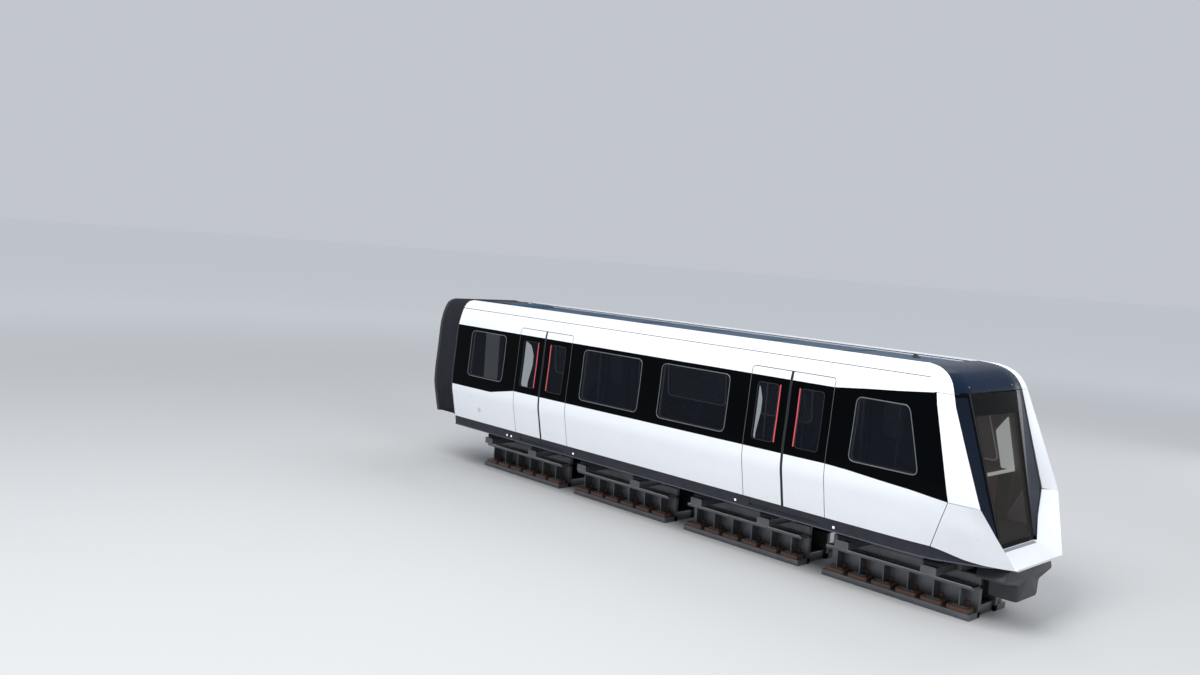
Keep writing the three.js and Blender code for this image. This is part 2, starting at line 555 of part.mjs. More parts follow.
// Draught screen: distance from the wall side, and height
const SCREEN = [[40, FLOOR_TOP + GAP], [260, FLOOR_TOP + GAP], [260, 1150], [360, 1500], [370, 1700],
  [300, 1900], [160, 1990], [40, 2000]];
const POLES = {
  stations: [1900, 3700, 7610, 9400], y: 540, radius: 18, sides: 10, railHalfWidth: 16, railDepth: 40,
};
for (const [side, sign] of [['right', -1], ['left', 1]]) {
  const across = (x0, x1, a, b, z0, z1) => box(x0, x1, Math.min(sign * a, sign * b),
    Math.max(sign * a, sign * b), z0, z1);
  const fromWall = (x0, x1, near, far, z0, z1) => across(x0, x1, BENCH.wallSide - near, BENCH.wallSide - far,
    z0, z1);
  const screenOutline = SCREEN.map(([reach, z]) => [sign * (BENCH.wallSide - reach), z]);
  for (const bench of BENCHES) {
    const screenAt = { rear: bench.from, front: bench.to - BENCH.screen };
    add(`bench_${bench.name}_${side}`, union([
      fromWall(bench.from, bench.to, 0, BENCH.depth, BENCH.seatBottom, BENCH.seatTop),
      fromWall(bench.from, bench.to, 0, BENCH.backDepth, BENCH.seatBottom, BENCH.backTop),
      fromWall(bench.from, bench.to, BENCH.legFrom, BENCH.legTo, FLOOR_TOP + GAP, BENCH.seatBottom + 5),
      ...bench.screens.map((end) => frontPrism(screenOutline, screenAt[end], screenAt[end] + BENCH.screen)),
    ]), SEAT);
  }
  const pole = (x) => disc(x, sign * POLES.y, POLES.radius, FLOOR_TOP + GAP, CEILING - GAP, POLES.sides);
  add(`grab_poles_${side}`, union([
    ...POLES.stations.map(pole),
    across(POLES.stations[0], POLES.stations[3], POLES.y - POLES.railHalfWidth, POLES.y + POLES.railHalfWidth,
      CEILING - POLES.railDepth, CEILING - GAP),
  ]), GRAB);
}

// Roof unit and antenna on the deck
const onDeck = DECK_TOP + GAP;
add('roof_unit', sidePrism([[ROOF_UNIT.rear, onDeck], [ROOF_UNIT.front, onDeck],
  [ROOF_UNIT.front, onDeck + ROOF_UNIT.lip], [ROOF_UNIT.slope, DECK_TOP + ROOF_UNIT.height],
  [ROOF_UNIT.rear, DECK_TOP + ROOF_UNIT.height]], -ROOF_UNIT.halfWidth, ROOF_UNIT.halfWidth), STEEL);
add('roof_antenna', box(ANTENNA.x - ANTENNA.halfLength, ANTENNA.x + ANTENNA.halfLength,
  ANTENNA.y - ANTENNA.halfWidth, ANTENNA.y + ANTENNA.halfWidth, onDeck, DECK_TOP + ANTENNA.height), STEEL);

// Origin at bottom centre
car.position.set(-(NOSE_TIP + OUTER_FRAME_END) / 2, 0, -STAND);
const whole = new THREE.Group();
whole.add(car);
whole.updateMatrixWorld(true);

export default whole;
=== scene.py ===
# The end car of a magnetic levitation train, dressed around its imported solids.
# Lengths are metres. Stations are the car's own: x from the body's rear end towards the nose,
# y to the left side, z from the skirts' lower edge. put() moves them into the frame.
import json

import bmesh
import bpy
import numpy as np
from mathutils import Matrix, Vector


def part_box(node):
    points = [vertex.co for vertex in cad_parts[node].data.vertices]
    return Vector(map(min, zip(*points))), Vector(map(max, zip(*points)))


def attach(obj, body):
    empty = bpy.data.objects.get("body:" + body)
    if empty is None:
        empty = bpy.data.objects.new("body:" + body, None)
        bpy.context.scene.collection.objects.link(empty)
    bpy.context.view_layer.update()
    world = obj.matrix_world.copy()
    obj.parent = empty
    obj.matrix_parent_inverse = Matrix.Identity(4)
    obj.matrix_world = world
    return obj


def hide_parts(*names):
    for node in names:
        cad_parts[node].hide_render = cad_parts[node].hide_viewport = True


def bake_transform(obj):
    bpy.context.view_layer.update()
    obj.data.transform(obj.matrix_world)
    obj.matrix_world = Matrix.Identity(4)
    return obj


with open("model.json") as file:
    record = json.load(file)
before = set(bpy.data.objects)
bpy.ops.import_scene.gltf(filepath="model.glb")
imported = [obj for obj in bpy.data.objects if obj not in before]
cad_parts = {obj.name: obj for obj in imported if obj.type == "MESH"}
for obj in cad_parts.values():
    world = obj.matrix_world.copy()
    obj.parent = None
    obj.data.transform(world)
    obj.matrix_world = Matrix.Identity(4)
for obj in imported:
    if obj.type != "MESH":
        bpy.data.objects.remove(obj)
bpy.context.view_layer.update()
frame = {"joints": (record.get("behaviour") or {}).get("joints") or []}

bl_info = {
    "name": "Maglev train car",
    "version": (1, 0, 0),
    "blender": (4, 5, 0),
    "location": "3D View > Sidebar > Maglev Car",
    "description": "Builds the dressed surface of a magnetic levitation train's end car",
    "category": "Add Mesh",
}

ORIGIN = np.array([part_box("side_wall_right")[0].x, 0.0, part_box("skirt_right")[0].z])

# Plan of the body at rising heights. side: half width of the straight part; shoulder, crease,
# reveal and pane: corners of the nose, from the flank round to the middle of the windscreen.
COLUMNS = ("z", "side", "shoulder_x", "shoulder_y", "crease_x", "crease_y",
           "reveal_x", "reveal_y", "pane_x", "pane_y")
LEVELS = np.array([
    [0.072, 1.104, 11.480, 0.985, 12.000, 0.745, 11.996, 0.640, 11.992, 0.520],
    [0.188, 1.122, 11.450, 1.030, 11.950, 0.816, 11.789, 0.576, 11.770, 0.520],
    [0.235, 1.132, 11.440, 1.047, 11.930, 0.843, 11.705, 0.550, 11.675, 0.519],
    [0.530, 1.192, 11.400, 1.155, 11.802, 1.021, 11.570, 0.829, 11.592, 0.550],
    [0.870, 1.250, 11.330, 1.243, 11.660, 1.220, 11.455, 1.150, 11.497, 0.585],
    [1.007, 1.250, 11.280, 1.244, 11.604, 1.219, 11.416, 1.140, 11.459, 0.600],
    [1.600, 1.209, 11.100, 1.206, 11.363, 1.190, 11.245, 1.098, 11.293, 0.662],
    [2.132, 1.172, 10.950, 1.168, 11.147, 1.155, 11.093, 1.060, 11.144, 0.717],
    [2.290, 1.135, 10.900, 1.131, 11.094, 1.125, 11.048, 1.045, 11.100, 0.734],
    [2.450, 1.078, 10.830, 1.076, 11.015, 1.070, 10.965, 1.000, 11.000, 0.715],
    [2.560, 1.015, 10.720, 1.013, 10.895, 1.008, 10.840, 0.935, 10.865, 0.680],
    [2.620, 0.930, 10.600, 0.929, 10.740, 0.925, 10.680, 0.850, 10.700, 0.640],
    [2.645, 0.830, 10.430, 0.829, 10.520, 0.826, 10.490, 0.760, 10.495, 0.600],
])
PILLAR_TOP = 2.290
ARCH_STEPS = np.hypot(np.diff(LEVELS[:, 0]), np.diff(LEVELS[:, 1]))
# A level's course is its height up to PILLAR_TOP, and from there on the way along the roof's arch
COURSES = np.where(LEVELS[:, 0] <= PILLAR_TOP, LEVELS[:, 0], 0.0)
for row in np.flatnonzero(LEVELS[:, 0] > PILLAR_TOP):
    COURSES[row] = COURSES[row - 1] + ARCH_STEPS[row - 1]
ARCH_TOP = COURSES[-1]

# Sides
SILL = 0.188
BELT = 1.007
BAND_TOP = 2.132
DOOR_TOP = 2.263
WALL = 0.066
NOSE_START = 10.3
BELT_LINE = np.array([[0, 0.880], [1.30, 0.880], [2.02, BELT], [9.28, BELT], [9.66, 0.990],
                      [10.19, 0.950], [10.66, 0.920], [10.96, 0.890], [11.215, 0.866]]).T
BAND_TOP_LINE = np.array([[0, BAND_TOP], [9.273, BAND_TOP], [9.85, 2.190], [10.32, 2.230],
                          [10.837, 2.284], [11.3, 2.288]]).T
DOORS = {"rear": (2.042, 2.806, 3.565), "front": (7.750, 8.508, 9.273)}    # rear edge, middle, front edge
DOOR_PANE = {"outer": 0.150, "inner": 0.205, "bottom": 1.140, "top": 2.030, "radius": 0.050}
DOOR_RADIUS = 0.060
WINDOWS = {"rear": (0.490, 1.640), "middle_rear": (3.910, 5.405), "middle_front": (5.860, 7.355),
           "front": (9.640, 10.760)}
WINDOW_BOTTOM = 1.120
WINDOW_TOP = 2.060
WINDOW_RADIUS = 0.090
FRONT_WINDOW_TOP = (9.660, 10.500)     # where the front window's edges reach WINDOW_TOP

# Nose joints in side view
SEAM_FOOT = 10.948
SEAM_HEAD = 11.215
LEVEL_JOINT = 0.866
PILLAR_TOP_X = 10.837
CHIN_LINE = np.array([[10.948, 0.188], [11.116, 0.165], [11.373, 0.110], [11.607, 0.084],
                      [11.900, 0.072], [12.100, 0.072]]).T
GLASS_FOOT = 0.240
EXIT_FOOT = 0.250
EXIT_HEAD = 2.276
EXIT_CLEARANCE = 0.012

# Roof
DECK_TOP = 2.600
DECK_HALF_WIDTH = 0.790
CAP_REAR = 10.480
GROOVE_Z = 2.475
GROOVE_END = 10.70
GROOVE_DEPTH = 0.005
ROOF_JOINTS = (5.12, 7.70)
ROOF_LIP = 0.038          # from the top of the arch in towards the deck
ROOF_LIP_FALL = 0.003

# Nose shell: wall thickness, and the grid's columns from just before the crease (1) to the reveal (2)
NOSE_WALL = 0.05
ROUND_CREASE = (0.97, 1.0, 1.06, 1.35, 1.7, 2.0)
CAP_DOT = (11.062, 0.659, 2.361)
LEDGE = (0.212, 0.233)                 # foot and head of the blank ledge under the windscreen

# Columns of a straight stretch of wall, and of the front one, are at most this far apart
COLUMN_STEP = 0.25
FRONT_STEP = 0.08
PANE_DEPTH = 0.002
RELEASE_COVER = (0.885, 0.446)
COVER_RADIUS = 0.042
STRIP_PLACE = (0.180, 1.150, 2.030)    # from the door's middle, foot and head
SKIRT_WIDTHS = ([0.0, LEVELS[0, 0], SILL], [1.092, 1.101, 1.116])      # heights, half widths
STEP_HALF = 0.64                       # half width of the skirt's recess under a door
STEP_DEPTH = 0.020
SKIRT_THICKNESS = 0.038
LAMP_HEIGHT = 0.075

# Dust: as far up as it lies, and its colour
DUST_TOP = SILL + 0.45
DUST_COLOUR = (0.33, 0.30, 0.26, 1)

# Floor, gangway and running gear
PLEAT_DEPTH = 0.040
PLEAT_INSETS = (0.025, 0.042)          # of the bellows' outer and inner surface at the crests
BETWEEN_FRAMES = (3.025, 5.875, 8.725)
FLOOR_TOP = 0.330
CEILING = 2.560
PASSAGE = {"half_width": 0.480, "top": 2.280}
GANGWAY = {"car_frame": -0.060, "bellows_end": -0.600, "outer_end": -0.690, "pivot": -0.345}
STAND = -0.850
FRAME_CENTRES = (1.600, 4.450, 7.300, 10.150)

# Camera of the photograph's view, fitted by least squares: its place, axes and lens
CAMERA_PLACE = (11.913, -13.998, 4.598)
CAMERA_RIGHT = (0.68830, 0.72143, 0.07606)
CAMERA_DOWN = (0.10854, 0.00125, -0.99409)
CAMERA_FORWARD = (-0.71726, 0.69249, -0.07745)
CAMERA_LENS = 30.805

SIDES = {"right": -1, "left": 1}


# Settings that a user would change

def length(name, description, default):
    return bpy.props.FloatProperty(name=name, description=description, default=default, min=0.0,
                                   precision=4, unit="LENGTH", subtype="DISTANCE")


def colour(name, description, default):
    return bpy.props.FloatVectorProperty(name=name, description=description, default=default,
                                         size=3, min=0.0, max=1.0, subtype="COLOR")


class MAGLEV_PG_sizes(bpy.types.PropertyGroup):
    """Small sizes of the dressed car."""
    panel_gap: length("Panel gap", "Open joint between two body panels", 0.012)
    edge_round: length("Edge rounding", "Width of the rounded panel edges", 0.003)
    seal_width: length("Window seal", "Width of the pale line round each window", 0.012)
    door_seal: length("Door middle seal", "Width of the rubber where two leaves meet", 0.044)
    pleats: bpy.props.IntProperty(name="Pleats", description="Folds of the gangway bellows",
                                  default=14, min=4, max=30)
    strip_width: length("Door light strip", "Width of the red strip beside each door pane", 0.026)


class MAGLEV_PG_colours(bpy.types.PropertyGroup):
    """Colours of the dressed car."""
    white: colour("Body white", "Cool white paint of the body", (0.840, 0.865, 0.905))
    band: colour("Window band", "Gloss black of the window band", (0.0010, 0.0015, 0.0020))
    cap: colour("Roof cap", "Navy of the cap over the windscreen", (0.004, 0.013, 0.036))
    glass: colour("Glass", "Tint of the panes", (0.004, 0.006, 0.010))
    slate: colour("Skirt slate", "Slate paint of the skirts", (0.015, 0.017, 0.028))
    deck: colour("Roof deck", "Grey-blue of the roof deck", (0.028, 0.058, 0.100))
    rubber: colour("Bellows", "Charcoal of the bellows", (0.027, 0.029, 0.038))
    strip: colour("Door strip", "Red of the door strips", (0.380, 0.020, 0.030))


# Numbers on curves and grids

def smooth_through(knots, values, at):
    """A cubic through each pair of neighbouring knots, with a slope at each knot that is the weighted
    harmonic mean of the slopes beside it, or level where they differ in sign, so it never overshoots."""
    step = np.diff(knots)
    slope = np.diff(values) / step
    weight_a = 2 * step[1:] + step[:-1]
    weight_b = step[1:] + 2 * step[:-1]
    same = slope[:-1] * slope[1:] > 0
    safe = np.where(same, slope[:-1], 1.0), np.where(same, slope[1:], 1.0)
    middle = np.where(same, (weight_a + weight_b) / (weight_a / safe[0] + weight_b / safe[1]), 0.0)
    tangent = np.concatenate([slope[:1], middle, slope[-1:]])
    at = np.clip(at, knots[0], knots[-1])
    i = np.clip(np.searchsorted(knots, at, side="right") - 1, 0, len(step) - 1)
    return hermite((at - knots[i]) / step[i], values[i], values[i + 1],
                   tangent[i] * step[i], tangent[i + 1] * step[i])


def hermite(t, start, end, leaving, arriving):
    """The cubic from start to end as t goes from 0 to 1, with those slopes at its ends."""
    t2, t3 = t * t, t * t * t
    return ((2 * t3 - 3 * t2 + 1) * start + (t3 - 2 * t2 + t) * leaving
            + (3 * t2 - 2 * t3) * end + (t3 - t2) * arriving)


def level(column, course):
    """A column of LEVELS at a course: smooth along the roof's arch and for the side's half width,
    and straight from row to row below the arch for the corners of the nose."""
    course = np.asarray(course, float)
    values = LEVELS[:, COLUMNS.index(column)]
    smooth = smooth_through(COURSES, values, course)
    if column == "side":
        return smooth
    return np.where(course > PILLAR_TOP, smooth, np.interp(course, COURSES, values))


def flank(x, course):
    """Half width of the body at station x: level with its side as far as NOSE_START, then one cubic
    to the shoulder and one to the crease, with equal slopes where they meet."""
    side = level("side", course)
    shoulder_x, shoulder_y = level("shoulder_x", course), level("shoulder_y", course)
    crease_x, crease_y = level("crease_x", course), level("crease_y", course)
    first_run, second_run = shoulder_x - NOSE_START, crease_x - shoulder_x
    first = (shoulder_y - side) / first_run
    second = (crease_y - shoulder_y) / second_run
    turn = 2 * first * second / np.minimum(first + second, -1e-9)
    last = 1.5 * second - 0.5 * turn
    t = np.clip((x - NOSE_START) / first_run, 0, 1)
    s = np.clip((x - shoulder_x) / second_run, 0, 1.02)
    near = hermite(t, side, shoulder_y, 0.0, turn * first_run)
    far = hermite(s, shoulder_y, crease_y, turn * second_run, last * second_run)
    return np.where(x <= NOSE_START, side, np.where(x <= shoulder_x, near, far))


def put(x, y, z):
    """Stations to points of the frame."""
    x, y, z = np.broadcast_arrays(x, y, z)
    return np.stack([x, y, z], -1) + ORIGIN


def flank_points(x, course, side):
    """Points of one flank at stations x and courses."""
    return put(x, side * flank(x, course), level("z", course))


def nose_points(u, course):
    """Points of the nose. u goes round it from the right: -4 where the right flank starts to turn in,
    -3 at the right crease, -2 at the reveal, -1 at the pane's edge, 0 in the middle, and so on to the
    left. The flank between 4 and 3 follows flank(), and straight lines join the other corners."""
    u, course = np.broadcast_arrays(u, course)
    far = np.abs(u)
    crease_x, crease_y = level("crease_x", course), level("crease_y", course)
    flank_x = NOSE_START + (4 - far) * (crease_x - NOSE_START)
    corners_x = [level("pane_x", course), level("pane_x", course), level("reveal_x", course), crease_x]
    corners_y = [0 * crease_y, level("pane_y", course), level("reveal_y", course), crease_y]
    part = np.clip(np.floor(far).astype(int), 0, 2)
    share = far - part
    low_x, high_x = np.choose(part, corners_x[:3]), np.choose(part, corners_x[1:])
    low_y, high_y = np.choose(part, corners_y[:3]), np.choose(part, corners_y[1:])
    x = np.where(far > 3, flank_x, low_x + (high_x - low_x) * share)
    y = np.where(far > 3, flank(flank_x, course), low_y + (high_y - low_y) * share)
    return put(x, np.sign(u) * y, level("z", course))


def round_corner(x, z, centre, way, radius, reach=1.6):
    """Pulls a grid's square corner on to an arc. Counted from the arc's centre in its quadrant, a point
    at the square's edge goes to the circle, points inside keep its share, and past reach none move."""
    a = (x - centre[0]) * way[0] / radius
    b = (z - centre[1]) * way[1] / radius
    square = np.maximum(a, b)
    inside = (a > 0) & (b > 0) & (square < reach)
    shrink = np.where(inside, square / np.maximum(np.hypot(a, b), 1e-12), 1.0)
    hold = np.clip((reach - square) / (reach - 1), 0, 1)
    scale = 1 + (shrink - 1) * hold
    return (np.where(inside, centre[0] + way[0] * a * scale * radius, x),
            np.where(inside, centre[1] + way[1] * b * scale * radius, z))


def round_hole(x, z, box, radius):
    """round_corner at the four corners of a hole (x0, x1, z0, z1)."""
    x0, x1, z0, z1 = box
    for corner_x, way_x in ((x0 + radius, -1), (x1 - radius, 1)):
        for corner_z, way_z in ((z0 + radius, -1), (z1 - radius, 1)):
            x, z = round_corner(x, z, (corner_x, corner_z), (way_x, way_z), radius)
    return x, z


def lines(start, stop, edges=(), radius=0.0, step=0.25, extra=()):
    """Grid lines from start to stop, at most step apart, with the lines that an arc needs on the inner
    side of each edge (place, way out): at the tangents of equal angles up to half a right angle."""
    arc = np.tan(np.radians(np.linspace(0, 45, 6)))
    arc = np.concatenate([arc, [1.2, 1.4, 1.6]])
    marks = [start, stop, *extra]
    for place, way in edges:
        centre = place - way * radius
        marks.extend(centre + way * radius * arc)
    marks = np.unique(np.round([m for m in marks if start - 1e-6 <= m <= stop + 1e-6], 5))
    filled = [np.linspace(a, b, int(np.ceil((b - a) / step)) + 1)[:-1]
              for a, b in zip(marks[:-1], marks[1:])]
    return np.concatenate([*filled, marks[-1:]])


def cells_in(x_lines, z_lines, box):
    """Mask of the cells whose middle lies in the box (x0, x1, z0, z1)."""
    x = (x_lines[:-1] + x_lines[1:]) / 2
    z = (z_lines[:-1] + z_lines[1:]) / 2
    return np.outer((x > box[0]) & (x < box[1]), (z > box[2]) & (z < box[3]))


def grid(first, second):
    """The points of a grid from the places of its lines."""
    return np.meshgrid(first, second, indexing="ij")


# Parts: (points, faces of four, material index of each face)

def outward(points):
    """Unit normals of a grid, from the cross product of its two directions, all turned round where
    most of them point towards the middle line between the skirts' lower edges."""
    normal = np.cross(np.gradient(points, axis=0), np.gradient(points, axis=1))
    normal /= np.maximum(np.linalg.norm(normal, axis=-1, keepdims=True), 1e-12)
    middle = points.copy()
    middle[..., 0] = np.minimum(points[..., 0], ORIGIN[0] + NOSE_START)
    middle[..., 1:] = ORIGIN[1:]
    return normal if np.sum(normal * (points - middle)) > 0 else -normal


def facing_out(points, faces):
    """The faces of a closed part, turned round where the volume that they hold is negative."""
    a, b, c, d = (points[faces[:, i]] for i in range(4))
    volume = np.sum(a * np.cross(b, c)) + np.sum(a * np.cross(c, d))
    return faces if volume >= 0 else faces[:, ::-1]


def between(outer, inner, keep=None, finishes=(0, 0), cells=None):
    """A closed part between two equal grids: the outer cells, the inner ones turned round, and a rim
    along every edge where a kept cell has no kept neighbour. finishes: outside with rims, inside.
    cells gives each outer cell a finish of its own."""
    rows, columns = outer.shape[:2]
    index = np.arange(rows * columns).reshape(rows, columns)
    if keep is None:
        keep = np.ones((rows - 1, columns - 1), bool)
    a, b, c, d = index[:-1, :-1], index[1:, :-1], index[1:, 1:], index[:-1, 1:]
    deep = rows * columns
    padded = np.pad(keep, 1)
    rims = []
    for start, end, beside in ((a, d, padded[:-2, 1:-1]), (c, b, padded[2:, 1:-1]),
                               (b, a, padded[1:-1, :-2]), (d, c, padded[1:-1, 2:])):
        bare = keep & ~beside
        rims.append(np.stack([start[bare], end[bare], end[bare] + deep, start[bare] + deep], -1))
    outside = np.stack([a[keep], b[keep], c[keep], d[keep]], -1)
    inside = np.stack([a[keep], d[keep], c[keep], b[keep]], -1) + deep
    faces = np.concatenate([outside, *rims, inside])
    finish = np.full(len(faces), finishes[0])
    finish[-len(inside):] = finishes[1]
    if cells is not None:
        finish[:len(outside)] = cells[keep]
    used, faces = np.unique(faces, return_inverse=True)
    points = np.concatenate([outer.reshape(-1, 3), inner.reshape(-1, 3)])[used]
    faces = faces.reshape(-1, 4)
    return points, facing_out(points, faces), finish


def wall(outer, thickness, keep=None, finishes=(0, 0), depth=0.0):
    """A closed wall pushed in along the normals of its outer grid, or a sheet from depth under it."""
    normal = outward(outer)
    return between(outer - normal * depth, outer - normal * (depth + thickness), keep, finishes)


def sweep(path, across, up, profile, closed=False, finish=0):
    """A solid rail: the points (across, up) of a closed profile carried along the path. across and up
    are one direction for the whole path, or one for each of its points."""
    across, up = (np.broadcast_to(way, path.shape)[:, None] for way in (across, up))
    profile = np.asarray(profile, float)[None]
    rings = path[:, None] + profile[..., :1] * across + profile[..., 1:] * up
    return tube(rings, closed, finish) if closed else capped(rings, finish)


def capped(rings, finish=0):
    """A body through rings of points, its ends closed to their middle."""
    rings = np.asarray(rings)
    ends = [np.repeat(ring.mean(0)[None, None], rings.shape[1], 1) for ring in (rings[0], rings[-1])]
    return tube(np.concatenate([ends[0], rings, ends[1]]), finish=finish)


def eased(outline, steps, place, finish=0):
    """A plate with eased rims. steps go through its thickness: the distance, and the share by which
    the outline is drawn in towards its middle. place gives points from distance and outline."""
    middle = outline.mean(0)
    return capped([place(along, *(middle + (outline - middle) * share).T) for along, share in steps],
                  finish)


def tube(rings, closed=False, finish=0):
    """Faces between closed rings of points, the last ring joined to the first where closed."""
    rows, columns = rings.shape[:2]
    index = np.arange(rows * columns).reshape(rows, columns)
    index = np.hstack([index, index[:, :1]])
    if closed:
        index = np.vstack([index, index[:1]])
    faces = np.stack([index[:-1, :-1], index[1:, :-1], index[1:, 1:], index[:-1, 1:]], -1).reshape(-1, 4)
    points = rings.reshape(-1, 3)
    return points, facing_out(points, faces), np.full(len(faces), finish)


def block(x0, x1, y0, y1, z0, z1, finish=0, round_by=0.0, axis=0):
    """A straight bar along one axis with its four long edges rounded, from stations."""
    low, high = np.sort([[x0, y0, z0], [x1, y1, z1]], axis=0)
    first, second = (axis + 1) % 3, (axis + 2) % 3
    profile = rounded(oblong(low[first], high[first], low[second], high[second]), round_by, 3)
    path = np.zeros((2, 3))
    path[:, axis] = low[axis], high[axis]
    return sweep(path + ORIGIN, np.eye(3)[first], np.eye(3)[second], profile, finish=finish)


def turned(profile, centre, axis=2, count=32, finish=0):
    """A turned part: the profile (radius, distance along the axis), from pole to pole or as a closed
    loop, carried once round the axis."""
    radius, along = np.asarray(profile, float).T
    first, second = [(1, 2), (2, 0), (0, 1)][axis]
    rings = np.zeros((len(radius), count, 3))
    rings[..., [first, second]] = radius[:, None, None] * circle(1.0, count)
    rings[..., axis] = along[:, None]
    return tube(rings + put(*centre), False, finish)


def bolts(centres, radius, height, axis=2, way=1, finish=0):
    """Hexagon heads on a face, each standing height out along the axis."""
    profile = [(0, -0.002), (radius, -0.002), (radius, height * 0.8), (radius * 0.85, height), (0, height)]
    profile = [(r, way * h) for r, h in profile]
    return [turned(profile, centre, axis, 6, finish) for centre in centres]


# Outlines and rails

def circle(radius, count):
    """Points evenly round a circle."""
    angle = np.linspace(0, 2 * np.pi, count, endpoint=False)
    return radius * np.stack([np.cos(angle), np.sin(angle)], -1)


def oblong(x0, x1, y0, y1):
    """The corners of an upright rectangle."""
    return np.array([(x0, y0), (x1, y0), (x1, y1), (x0, y1)], float)


def ridge(half, foot, edge, top):
    """Profile of a bonded line: flat in its middle half and falling off to its edges."""
    return [(-half, foot), (half, foot), (half, edge), (half / 2, top), (-half / 2, top), (-half, edge)]


def rounded(corners, radius, steps=5, closed=True):
    """An outline whose corners are arcs, each a quadratic curve from radius before the corner to
    radius after it."""
    corners = np.asarray(corners, float)
    if radius <= 0:
        return corners
    before = np.roll(corners, 1, 0) - corners
    after = np.roll(corners, -1, 0) - corners
    before *= radius / np.linalg.norm(before, axis=1, keepdims=True)
    after *= radius / np.linalg.norm(after, axis=1, keepdims=True)
    t = np.linspace(0, 1, steps)[:, None]
    arcs = [corner + (1 - t) ** 2 * b + t ** 2 * a for corner, b, a in zip(corners, before, after)]
    if not closed:
        arcs = [corners[:1], *arcs[1:-1], corners[-1:]]
    return np.concatenate(arcs)


def dense(outline, step, closed=True):
    """The outline with points at most step apart."""
    ends = np.roll(outline, -1, 0) if closed else outline[1:]
    runs = [a + (b - a) * np.linspace(0, 1, max(1, int(np.ceil(np.linalg.norm(b - a) / step))),
                                      endpoint=False)[:, None]
            for a, b in zip(outline, ends) if np.linalg.norm(b - a) > 1e-6]
    return np.concatenate(runs if closed else [*runs, outline[-1:]])


def on_flank(outline, side, profile, closed=True, depth=0.0, finish=0):
    """A rail laid along an outline (x, z) of the flank, its profile across and out of the surface."""
    x, z = outline.T
    step = 1e-3
    points = put(x, side * (flank(x, z) - depth), z)
    slope_x = (flank(x + step, z) - flank(x - step, z)) / (2 * step)
    slope_z = (flank(x, z + step) - flank(x, z - step)) / (2 * step)
    out = np.stack([-slope_x, np.full_like(x, side), -slope_z], -1)
    ahead = np.roll(points, -1, 0) - np.roll(points, 1, 0)
    if not closed:
        ahead[0], ahead[-1] = points[1] - points[0], points[-1] - points[-2]
    out, ahead = (way / np.linalg.norm(way, axis=1, keepdims=True) for way in (out, ahead))
    return sweep(points, np.cross(ahead, out), out, profile, closed, finish)


def upright(x, z0, z1, side, profile, finish=0):
    """A rail straight up the flank."""
    run = dense(np.array([(x, z0), (x, z1)]), 0.06, closed=False)
    return on_flank(run, side, profile, closed=False, finish=finish)


# Finishes

def fill(owner, node, values={}, feeds={}):
    """Sets values of a node's sockets, and links what feeds the others."""
    for socket, value in values.items():
        node.inputs[socket].default_value = value
    for socket, source in feeds.items():
        owner.node_tree.links.new(source, node.inputs[socket])
    return node


def add_node(owner, kind, values={}, feeds={}, **settings):
    """A new node of the owner's tree, with its settings and sockets."""
    node = owner.node_tree.nodes.new("ShaderNode" + kind)
    for setting, value in settings.items():
        setattr(node, setting, value)
    return fill(owner, node, values, feeds)


def principled(name, base, roughness, metallic=0.0, specular=0.5, coat=0.0, alpha=1.0, mottle=0.08,
               mottle_scale=2.0, grain=0.0, grain_scale=200.0, stretch=(1, 1, 1), glow=0.0,
               rough_spread=0.06, dust=0.0, ior=1.5, tone=1):
    """A paint, metal, rubber or glass. Its colour and roughness drift with soft noise, grain raises
    it in fine bumps, and dust settles on it towards the skirts' lower edge."""
    made = bpy.data.materials.get(name)
    if made:
        return made
    made = bpy.data.materials.new(name)
    made.use_nodes = True
    base = [tone * value for value in base]
    shader = made.node_tree.nodes["Principled BSDF"]
    fill(made, shader, {"Metallic": metallic, "Specular IOR Level": specular, "IOR": ior,
                        "Coat Weight": coat, "Coat Roughness": 0.05, "Alpha": alpha})
    if glow:
        fill(made, shader, {"Emission Color": (*base, 1), "Emission Strength": glow})
    place = add_node(made, "TexCoord").outputs["Object"]
    scaled = add_node(made, "Mapping", {"Scale": stretch}, {"Vector": place}).outputs["Vector"]

    def noise(scale, detail):
        return add_node(made, "TexNoise", {"Scale": scale, "Detail": detail},
                        {"Vector": scaled}).outputs["Fac"]

    tints = [(*[min(1.0, value * (1 + way * mottle)) for value in base], 1) for way in (-1, 1)]
    shown = add_node(made, "Mix", {"A": tints[0], "B": tints[1]}, {"Factor": noise(mottle_scale, 5.0)},
                     data_type="RGBA").outputs["Result"]
    if dust:
        height = add_node(made, "SeparateXYZ", feeds={"Vector": place}).outputs["Z"]
        low = add_node(made, "MapRange", {"From Min": ORIGIN[2] + DUST_TOP, "From Max": ORIGIN[2],
                                          "To Max": dust}, {"Value": height}).outputs["Result"]
        patchy = add_node(made, "Math", feeds={0: low, 1: noise(7.0, 6.0)}, operation="MULTIPLY")
        shown = add_node(made, "Mix", {"B": DUST_COLOUR}, {"Factor": patchy.outputs["Value"], "A": shown},
                         data_type="RGBA").outputs["Result"]
    spread = {"To Min": max(0.0, roughness - rough_spread), "To Max": min(1.0, roughness + rough_spread)}
    rough = add_node(made, "MapRange", spread, {"Value": noise(mottle_scale * 4, 3.0)})
    fill(made, shader, feeds={"Base Color": shown, "Roughness": rough.outputs["Result"]})
    if grain:
        bump = add_node(made, "Bump", {"Strength": grain, "Distance": 0.002},
                        {"Height": noise(grain_scale, 4.0)})
        fill(made, shader, feeds={"Normal": bump.outputs["Normal"]})
    return made


